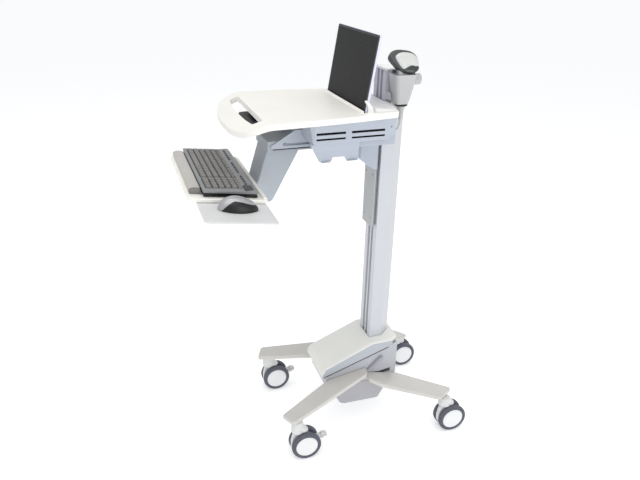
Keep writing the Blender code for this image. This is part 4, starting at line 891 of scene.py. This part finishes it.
# -------------------------------------------------------------------- keyboard
deck_side = [(0.0006, -0.0020), (0.0010, 0.0002), (0.0030, 0.0016), (0.0070, 0.0022), (0.0600, 0.0030),
             (0.1160, 0.0046), (0.1300, 0.0062), (0.1400, 0.0072), (0.1470, 0.0062), (0.1515, 0.0030),
             (0.1528, -0.0010), (0.1510, -0.0022)]
make("keyboard_frame", prism(catmull(deck_side[:-1], 3) + [deck_side[-1]], "YZ", -0.2200, 0.1940), M_KBSIL, "tray",
     ("keyboard",), bev=0.0012, seg=3, ang=45, M=TRAY,
     cuts=[prism(rect((-0.2080, 0.0105), (0.0790, 0.1140), 0.0030, 4), "XY", 0.0016, 0.0200),
           prism(rect((0.0840, 0.0105), (0.1680, 0.1140), 0.0030, 4), "XY", 0.0016, 0.0200)], smooth=30)
make("keyboard_key_well", prism(rect((-0.2078, 0.0107), (0.1678, 0.1138), 0.0030, 4), "XY", 0.0005, 0.0017), M_KBWELL,
     "tray", bev=0.0002, seg=1, M=TRAY)
under = rounded([(0.0020, -0.0146), (0.0020, -0.0060), (0.0060, -0.0024), (0.1440, -0.0024), (0.1505, -0.0060),
                 (0.1520, -0.0146)], [0.004, 0.004, 0.003, 0.004, 0.005, 0.004], 5)
make("keyboard_lower_shell", prism(under, "YZ", -0.2165, 0.1905), M_KBBLACK, "tray", bev=0.0022, seg=3, ang=45,
     M=TRAY)


def key(bm, u0, u1, v0, v1, w0, w1):
    """One keycap: tapered sides, rounded shoulders and a shallow dish."""
    def ring(inset, w, r):
        return [bm.verts.new((u, v, w)) for u, v in rect((u0 + inset, v0 + inset), (u1 - inset, v1 - inset), r, 2)]
    rs = [ring(0.0, w0, 0.0008), ring(0.0007, w0 + (w1 - w0) * 0.62, 0.0010), ring(0.0014, w1 - 0.0004, 0.0012),
          ring(0.0021, w1, 0.0014), ring(0.0036, w1 - 0.0003, 0.0014)]
    n = len(rs[0])
    for a, b in zip(rs, rs[1:]):
        for i in range(n):
            bm.faces.new((a[i], a[(i + 1) % n], b[(i + 1) % n], b[i]))
    bm.faces.new(rs[-1])
    bm.faces.new(list(reversed(rs[0])))


keys = bmesh.new()
PITCH, GAPK = 0.0190, 0.0030
ROWS = [  # front row first: widths in units, across the 15-unit main block
    [1.25, 1.25, 1.25, 6.25, 1.25, 1.25, 1.25, 1.25],
    [2.25, 1, 1, 1, 1, 1, 1, 1, 1, 1, 1, 2.75],
    [1.75, 1, 1, 1, 1, 1, 1, 1, 1, 1, 1, 1, 2.25],
    [1.5, 1, 1, 1, 1, 1, 1, 1, 1, 1, 1, 1, 1, 1.5],
    [1, 1, 1, 1, 1, 1, 1, 1, 1, 1, 1, 1, 1, 2],
]
v_start, v_pitch = 0.0118, 0.0178
for r, widths in enumerate(ROWS):
    u = -0.2066
    v0 = v_start + r * v_pitch
    for wd in widths:
        key(keys, u + GAPK / 2, u + wd * PITCH - GAPK / 2, v0 + GAPK / 2, v0 + v_pitch - GAPK / 2,
            0.0016, 0.0074 + 0.0004 * r)
        u += wd * PITCH
v0 = v_start + 5 * v_pitch
u = -0.2066
for i in range(13):
    w = 0.0202
    if i in (1, 5, 9):
        u += 0.0056
    key(keys, u + GAPK / 2, u + w - GAPK / 2, v0 + 0.0010, v0 + 0.0125, 0.0016, 0.0082)
    u += w
PADW = 0.0204
for r in range(5):
    v0 = v_start + r * v_pitch
    widths = [2, 1, 1] if r == 0 else [1, 1, 1, 1]
    u = 0.0853
    for wd in widths:
        key(keys, u + GAPK / 2, u + wd * PADW - GAPK / 2, v0 + GAPK / 2, v0 + v_pitch - GAPK / 2,
            0.0016, 0.0074 + 0.0004 * r)
        u += wd * PADW
v0 = v_start + 5 * v_pitch
for i in range(4):
    u = 0.0853 + i * PADW
    key(keys, u + GAPK / 2, u + PADW - GAPK / 2, v0 + 0.0010, v0 + 0.0125, 0.0016, 0.0082)
bmesh.ops.recalc_face_normals(keys, faces=keys.faces[:])
make("keyboard_keys", keys, M_KEY, "tray", M=TRAY, smooth=50, weighted=False)

hot = bmesh.new()
for i in range(16):
    u = -0.1960 + i * 0.0215
    if i in (5, 11):
        continue
    key(hot, u, u + 0.0150, 0.1255, 0.1325, 0.0040, 0.0086)
bmesh.ops.recalc_face_normals(hot, faces=hot.faces[:])
make("keyboard_hot_keys", hot, M_KBDARK, "tray", M=TRAY, smooth=50, weighted=False)
make("keyboard_corner_panel", prism(rect((0.1480, 0.1160), (0.1880, 0.1400), 0.0050, 5), "XY", 0.0040, 0.0078),
     M_KBDARK, "tray", bev=0.0010, seg=2, M=TRAY)


# ------------------------------------------------------------------- wrist rest
def rest_ring(u, grow, drop):
    prof = [(-0.0320 - grow, -0.0146), (-0.0320 - grow, -0.0080), (-0.0290, -0.0036 - drop), (-0.0235, -0.0010 - drop),
            (-0.0160, 0.0000 - drop), (-0.0085, -0.0004 - drop), (-0.0030, -0.0020 - drop), (-0.0006, -0.0050 - drop),
            (-0.0002, -0.0146)]
    pts = catmull(prof, 4)
    return [(u, v, max(w, -0.0146)) for v, w in pts]


ringsr = []
for k in range(49):
    u = -0.2060 + 0.3560 * k / 48
    edge = min(u + 0.2060, 0.1500 - u)
    drop = 0.0028 * max(0.0, 1.0 - edge / 0.010) ** 2
    sway = 0.00035 * noise.noise(Vector((u * 22.0, 0.3, 0.7)))
    ringsr.append(rest_ring(u, 0.0, drop + sway))
rest = make("wrist_rest_pad", loft(ringsr), M_REST, "tray", ("wrist_rest",), M=TRAY, smooth=60,
            weighted=False)
end_rings = [rest_ring(0.1502, 0.0, 0.0026), rest_ring(0.1515, 0.0, 0.0016), rest_ring(0.1640, 0.0, 0.0018),
             rest_ring(0.1680, 0.0, 0.0026), rest_ring(0.1700, 0.0, 0.0048)]
make("wrist_rest_end_cap", loft(end_rings), M_RESTEND, "tray", M=TRAY, smooth=50, weighted=False)

# ------------------------------------------------------------ mouse tray and mouse
mtray = rounded([(0.0700, -0.0170), (0.3400, -0.0170), (0.3400, 0.1750), (0.0700, 0.1750)],
                [0.0040, 0.0190, 0.0060, 0.0040], 10)
make("mouse_tray_finish", prism(mtray, "XY", -0.0318, -0.0268), M_MTRAY, "mouse_tray", ("mouse_tray",),
     bev=0.0016, seg=3, M=TRAY)


def mouse_point(phi, theta, grow=0.0):
    c, s = math.cos(theta), math.sin(theta)
    ny = c * math.sin(phi)
    x = (0.0315 * (1.0 - 0.10 * ny * ny - 0.06 * ny) + grow) * c * math.cos(phi)
    y = (0.0545 + grow) * ny
    hump = 1.0 - 0.22 * ny - 0.10 * ny * ny
    z = (0.0352 * hump + grow) * s ** 0.92
    return (0.2490 + x, 0.0860 + y, -0.0262 + z)


def mouse_grid(start, grow, n=72, m=16):
    bm = bmesh.new()
    rows = []
    for j in range(m):
        row = []
        for i in range(n):
            phi = math.tau * i / n
            t0 = start(phi)
            th = t0 + (math.pi / 2 - t0) * j / m
            row.append(bm.verts.new(mouse_point(phi, th, grow)))
        rows.append(row)
    apex = bm.verts.new(mouse_point(0.0, math.pi / 2, grow))
    for a, b in zip(rows, rows[1:]):
        for i in range(n):
            bm.faces.new((a[i], a[(i + 1) % n], b[(i + 1) % n], b[i]))
    for i in range(n):
        bm.faces.new((rows[-1][i], rows[-1][(i + 1) % n], apex))
    return bm, rows


mb, mrows = mouse_grid(lambda p: 0.0, 0.0)
mb.faces.new(list(reversed(mrows[0])))
bmesh.ops.recalc_face_normals(mb, faces=mb.faces[:])
make("mouse_body", mb, M_MOUSEB, "mouse_tray", ("mouse",), M=TRAY, smooth=50, weighted=False)


def arch(phi):
    """Where the silver top shell ends: high over the flanks, low at both ends."""
    toward_front = math.sin(phi)
    t = min(1.0, max(0.0, (toward_front + 0.88) / 0.48))
    t = t * t * (3 - 2 * t)
    return 0.03 + 0.86 * t ** 0.7 * (1.0 - 0.34 * max(0.0, toward_front) ** 1.5)


ms, srows = mouse_grid(arch, 0.0009)
bot = [ms.verts.new(Vector(v.co) + Vector((0, 0, -0.0009))) for v in srows[0]]
n = len(bot)
for i in range(n):
    ms.faces.new((bot[i], bot[(i + 1) % n], srows[0][(i + 1) % n], srows[0][i]))
ms.faces.new(list(reversed(bot)))
bmesh.ops.recalc_face_normals(ms, faces=ms.faces[:])
make("mouse_top_shell", ms, M_MOUSE, "mouse_tray", M=TRAY, smooth=50, weighted=False)
mwheel = lathe([(0.0, -0.0022), (0.0070, -0.0022), (0.0080, -0.0014), (0.0080, 0.0014), (0.0070, 0.0022),
                (0.0, 0.0022)], (0.2490, 0.1160, -0.0085), TURN_X, 40, lobes=20, depth=0.06)
make("mouse_scroll_wheel", mwheel, M_RUBBER, "mouse_tray", M=TRAY, smooth=30)

# --------------------------------------------------------- power supply bracket
psb_side = rounded([(-0.3130, 1.0694), (-0.3000, 1.0440), (-0.2850, 1.0165), (-0.2790, 1.0150), (-0.2500, 1.0165),
                    (-0.2460, 1.0275), (-0.2120, 1.0275), (-0.2040, 1.0150), (-0.1710, 1.0150), (-0.1690, 1.0180),
                    (-0.1690, 1.0694)], [0.0005, 0.02, 0.004, 0.003, 0.003, 0.003, 0.003, 0.003, 0.002, 0.002, 0.0005], 4)
psb_section = rounded([(0.1660, 1.0900), (0.1660, 1.0694), (0.1580, 1.0450), (0.1580, 1.0000), (0.1556, 1.0000),
                       (0.1556, 1.0455), (0.1634, 1.0694), (0.1634, 1.0900)], [0, 0.001, 0.003, 0, 0, 0.003, 0.001, 0], 4)
psb_solid = intersected(prism(psb_side, "YZ", 0.1500, 0.1700), prism(psb_section, "XZ", -0.4, 0.0))
lips = [prism(rounded([(0.1556, 1.0150), (0.1580, 1.0150), (0.1646, 1.0172), (0.1650, 1.0155), (0.1582, 1.0132),
                       (0.1556, 1.0132)], 0.0006, 2), "XZ", y0, y1) for y0, y1 in ((-0.2025, -0.1715),
                                                                                  (-0.2780, -0.2515))]
make("power_supply_bracket_finish", psb_solid, M_BAY, "head", ("power_supply_bracket",), bev=0.0005,
     seg=2, ang=50, unions=[block((0.1100, -0.3060, 1.0670), (0.1640, -0.1800, 1.0692))] + lips)

# ------------------------------------------------------ holster, scanner and lead
CUP = (0.0880, -0.0160)
hb_side = rounded([(-0.0460, 1.1585), (-0.0305, 1.1585), (-0.0305, 1.1000), (0.0080, 1.1000), (0.0260, 1.1500),
                   (0.0260, 1.2400), (-0.0460, 1.2400)], [0.002, 0.001, 0.003, 0.006, 0.010, 0.005, 0.005], 5)
make("holster_bracket_finish", prism(hb_side, "YZ", 0.0464, 0.0506), M_HOL, "head", ("holster_bracket",),
     bev=0.0010, seg=2, ang=50,
     unions=[prism(rect((-0.0380, 1.2000), (0.0060, 1.2330), 0.0040, 4), "YZ", 0.0490, 0.0545),
             prism(rect((0.0205, 1.1950), (0.0262, 1.2310), 0.0012, 2), "YZ", 0.0480, 0.0780),
             prism(rect((-0.0460, 1.1585), (-0.0440, 1.1800), 0.0006, 2), "YZ", 0.0480, 0.0780)],
     post=0.0005, post_seg=2, post_ang=60)


def cup_ring(hx, hy, r, z, seg=7):
    return [(CUP[0] + u, CUP[1] + v, z) for u, v in rect((-hx, -hy), (hx, hy), r, seg)]


outer = [(0.0172, 0.0177, 0.0086, 1.1503), (0.0180, 0.0185, 0.0090, 1.1509), (0.0189, 0.0192, 0.0092, 1.1545),
         (0.0215, 0.0215, 0.0100, 1.1650), (0.0243, 0.0243, 0.0106, 1.1800), (0.0270, 0.0270, 0.0112, 1.1950),
         (0.0300, 0.0301, 0.0118, 1.2160), (0.0324, 0.0326, 0.0122, 1.2330), (0.0328, 0.0330, 0.0122, 1.2352),
         (0.0325, 0.0327, 0.0120, 1.2360), (0.0319, 0.0321, 0.0118, 1.2360), (0.0316, 0.0318, 0.0116, 1.2350)]
inner = [(0.0300, 0.0302, 0.0110, 1.2300), (0.0272, 0.0273, 0.0104, 1.2120), (0.0245, 0.0245, 0.0098, 1.1950),
         (0.0216, 0.0217, 0.0092, 1.1790), (0.0190, 0.0190, 0.0085, 1.1655), (0.0165, 0.0167, 0.0078, 1.1560),
         (0.0155, 0.0157, 0.0074, 1.1546)]
make("scanner_holster_finish", loft([cup_ring(*r) for r in outer + inner]), M_HOL, "head", ("scanner_holster",),
     smooth=30)
gy = CUP[1] + 0.002
make("cable_gland_ring", lathe([(0.0, 1.1500), (0.0176, 1.1500), (0.0183, 1.1493), (0.0183, 1.1460), (0.0178, 1.1446),
                                (0.0168, 1.1441), (0.0, 1.1441)], (CUP[0], gy, 0.0), I3, 64), M_RUBBER, "head",
     ("cable_gland",), smooth=35)
neck = [(0.0, 1.1440), (0.0122, 1.1440), (0.0118, 1.1424), (0.0106, 1.1380), (0.0094, 1.1330)]
z = 1.1318
for i in range(6):
    r0 = 0.0088 - i * 0.00068
    neck += [(r0, z), (r0, z - 0.0022), (r0 - 0.0011, z - 0.0027), (r0 - 0.0011, z - 0.0037)]
    z -= 0.0044
neck += [(0.0047, z), (0.0044, 1.1046), (0.0040, 1.1040), (0.0, 1.1040)]
make("cable_gland_neck", lathe(neck, (CUP[0], gy, 0.0), I3, 40), M_HOL, "head", smooth=30)

route = [(CUP[0], gy, 1.1037), (CUP[0], gy, 1.0950), (CUP[0], CUP[1] + 0.0006, 1.0850),
         (CUP[0], CUP[1] - 0.0050, 1.0750), (CUP[0], CUP[1] - 0.0150, 1.0690), (CUP[0], CUP[1] - 0.0260, 1.0668),
         (CUP[0], CUP[1] - 0.0400, 1.0665)]
make("scanner_cable_finish", tube(catmull(route, 8), 0.0030, 20), M_CABLE, "head", ("scanner_cable",),
     smooth=50, weighted=False)
make("holster_knob_finish", lathe([(0.0, 0.0126), (0.0090, 0.0130), (0.0138, 0.0130), (0.0156, 0.0122),
                                   (0.0165, 0.0104), (0.0165, -0.0100), (0.0158, -0.0122), (0.0144, -0.0132),
                                   (0.0080, -0.0134), (0.0, -0.0134)], (0.0620, 0.0400, 1.2130), TURN_Y, 96,
                                  lobes=8, depth=0.10), M_HOL, "knob", ("holster_knob",), smooth=38)

HEAD_N = Vector((0.90, 0.04, 0.40)).normalized()
HEAD_A = Vector((0.0, -1.0, 0.30))
HEAD_A = (HEAD_A - HEAD_N * HEAD_A.dot(HEAD_N)).normalized()
HEAD_B = HEAD_N.cross(HEAD_A)
HM = Matrix((HEAD_A, HEAD_B, HEAD_N)).transposed().to_4x4()
HM.translation = Vector((0.0920, -0.0230, 1.2680))
OUTLINE = [(0.0440, -0.0040), (0.0385, -0.0190), (0.0260, -0.0275), (0.0080, -0.0320), (-0.0160, -0.0338),
           (-0.0330, -0.0290), (-0.0440, -0.0180), (-0.0490, -0.0040), (-0.0495, 0.0090), (-0.0450, 0.0200),
           (-0.0340, 0.0275), (-0.0160, 0.0305), (0.0000, 0.0275), (0.0150, 0.0190), (0.0310, 0.0080)]
curve = [Vector(p) for p in catmull(OUTLINE, 5, closed=True)]
centre = Vector((-0.0040, -0.0020))


def head_ring(scale, n, da=0.0, db=0.0):
    return [(centre.x + (p.x - centre.x) * scale + da, centre.y + (p.y - centre.y) * scale + db, n) for p in curve]


dark = [head_ring(0.30, -0.0205, 0.004, 0.004), head_ring(0.58, -0.0190, 0.003, 0.003),
        head_ring(0.80, -0.0140, 0.002, 0.002), head_ring(0.93, -0.0070, 0.001, 0.001), head_ring(0.985, -0.0010),
        head_ring(1.0, 0.0030), head_ring(0.995, 0.0062), head_ring(0.975, 0.0086), head_ring(0.94, 0.0098),
        head_ring(0.90, 0.0102)]
make("scanner_head_shell", loft(dark), M_SCAN, "scanner", ("scanner_body",), M=HM, smooth=50,
     weighted=False)
panel_outline = catmull([(0.0330, -0.0060), (0.0290, -0.0175), (0.0150, -0.0270), (-0.0040, -0.0315), (-0.0230, -0.0310),
                         (-0.0370, -0.0235), (-0.0445, -0.0110), (-0.0462, 0.0020), (-0.0400, 0.0075),
                         (-0.0260, 0.0080), (-0.0130, 0.0155), (-0.0030, 0.0235), (0.0080, 0.0200),
                         (0.0200, 0.0095)], 5, closed=True)
pc0 = Vector((-0.0070, -0.0080))
panel_outline = [(pc0.x - 0.0040 + (u - pc0.x) * 0.92, pc0.y + 0.0022 + (v - pc0.y) * 0.90) for u, v in panel_outline]


def panel_ring(scale, n):
    return [(pc0.x + (u - pc0.x) * scale, pc0.y + (v - pc0.y) * scale, n) for u, v in panel_outline]


make("scanner_top_panel", loft([panel_ring(1.0, 0.0088), panel_ring(1.0, 0.0112), panel_ring(0.96, 0.0127),
                                panel_ring(0.88, 0.0140), panel_ring(0.70, 0.0154), panel_ring(0.45, 0.0164),
                                panel_ring(0.18, 0.0168)]), M_SCANTOP, "scanner", M=HM, smooth=60, weighted=False)
# the dark pad across the low end of the panel
pad_outline = catmull([(-0.0030, 0.0258), (-0.0100, 0.0150), (-0.0230, 0.0062), (-0.0380, 0.0050), (-0.0478, 0.0040),
                       (-0.0487, 0.0130), (-0.0430, 0.0215), (-0.0310, 0.0276), (-0.0160, 0.0294)], 5, closed=True)
pc = Vector((-0.0290, 0.0185))


def pad_ring(scale, n):
    return [(pc.x + (u - pc.x) * scale, pc.y + (v - pc.y) * scale, n) for u, v in pad_outline]


make("scanner_front_pad", loft([pad_ring(1.0, 0.0080), pad_ring(1.0, 0.0118), pad_ring(0.95, 0.0130),
                                pad_ring(0.82, 0.0142), pad_ring(0.55, 0.0152), pad_ring(0.2, 0.0156)]), M_LENS,
     "scanner", M=HM, smooth=60, weighted=False)
grip = [(0.0118, 0.0123, 0.0058, 1.1560), (0.0120, 0.0125, 0.0060, 1.1575), (0.0150, 0.0160, 0.0080, 1.1900),
        (0.0163, 0.0186, 0.0088, 1.2250), (0.0165, 0.0190, 0.0090, 1.2300), (0.0160, 0.0196, 0.0090, 1.2480),
        (0.0150, 0.0200, 0.0090, 1.2650)]
make("scanner_grip", loft([cup_ring(*r) for r in grip]), M_SCANTOP, "scanner", smooth=32,
     cuts=[block((CUP[0] - 0.0070, -0.0700, 1.2200), (CUP[0] + 0.0070, -0.0352, 1.2520))])
make("scanner_trigger_finish", prism(rounded([(-0.0455, 1.2380), (-0.0392, 1.2380), (-0.0392, 1.2475),
                                              (-0.0462, 1.2475), (-0.0470, 1.2430)], 0.0012, 3), "YZ",
                                     CUP[0] - 0.0060, CUP[0] + 0.0060), M_BLACK, "trigger", ("scanner_trigger",),
     bev=0.0010, seg=3)


# ----------------------------------------------------------------- small fasteners
def screw(name, at, turn, r, body, M=None):
    """A domed screw head with a hex recess."""
    prof = [(0.0, -0.0006), (r, -0.0006), (r, 0.0), (r * 0.96, r * 0.22), (r * 0.78, r * 0.42), (r * 0.5, r * 0.52),
            (0.0, r * 0.54)]
    bm = lathe(prof, at, turn, 28)
    hexa = lathe([(0.0, 0.0), (r * 0.42, 0.0), (r * 0.42, r * 1.2), (0.0, r * 1.2)], at, turn, 6)
    make(name, bm, M_STEEL, body, cuts=[hexa], M=M, smooth=35)


screw("channel_screw_right", (0.0752, -0.2900, 1.0500), TURN_X, 0.0026, "head")
screw("channel_screw_left", (-0.0752, -0.2900, 1.0500), TURN_XN, 0.0026, "head")
screw("bay_screw_right_rear", (0.1702, -0.0780, 1.1060), TURN_X, 0.0024, "head")
screw("bay_screw_left_rear", (-0.1702, -0.0780, 1.1060), TURN_XN, 0.0024, "head")
for k, (x0, z0) in enumerate(((-0.025, 0.9150), (0.025, 0.9150), (-0.025, 0.7700), (0.025, 0.7700))):
    screw("carriage_screw_%d" % (k + 1), (x0, -0.0616, z0), Matrix.Rotation(math.pi / 2, 3, 'X'), 0.0028, "head")

# ------------------------------------------------------------------------- stage
floor_bm = bmesh.new()
bmesh.ops.create_grid(floor_bm, x_segments=4, y_segments=4, size=60.0)
floor = to_object(floor_bm, "studio_floor")
floor.data.materials.append(M_FLOOR)

bpy.context.view_layer.update()
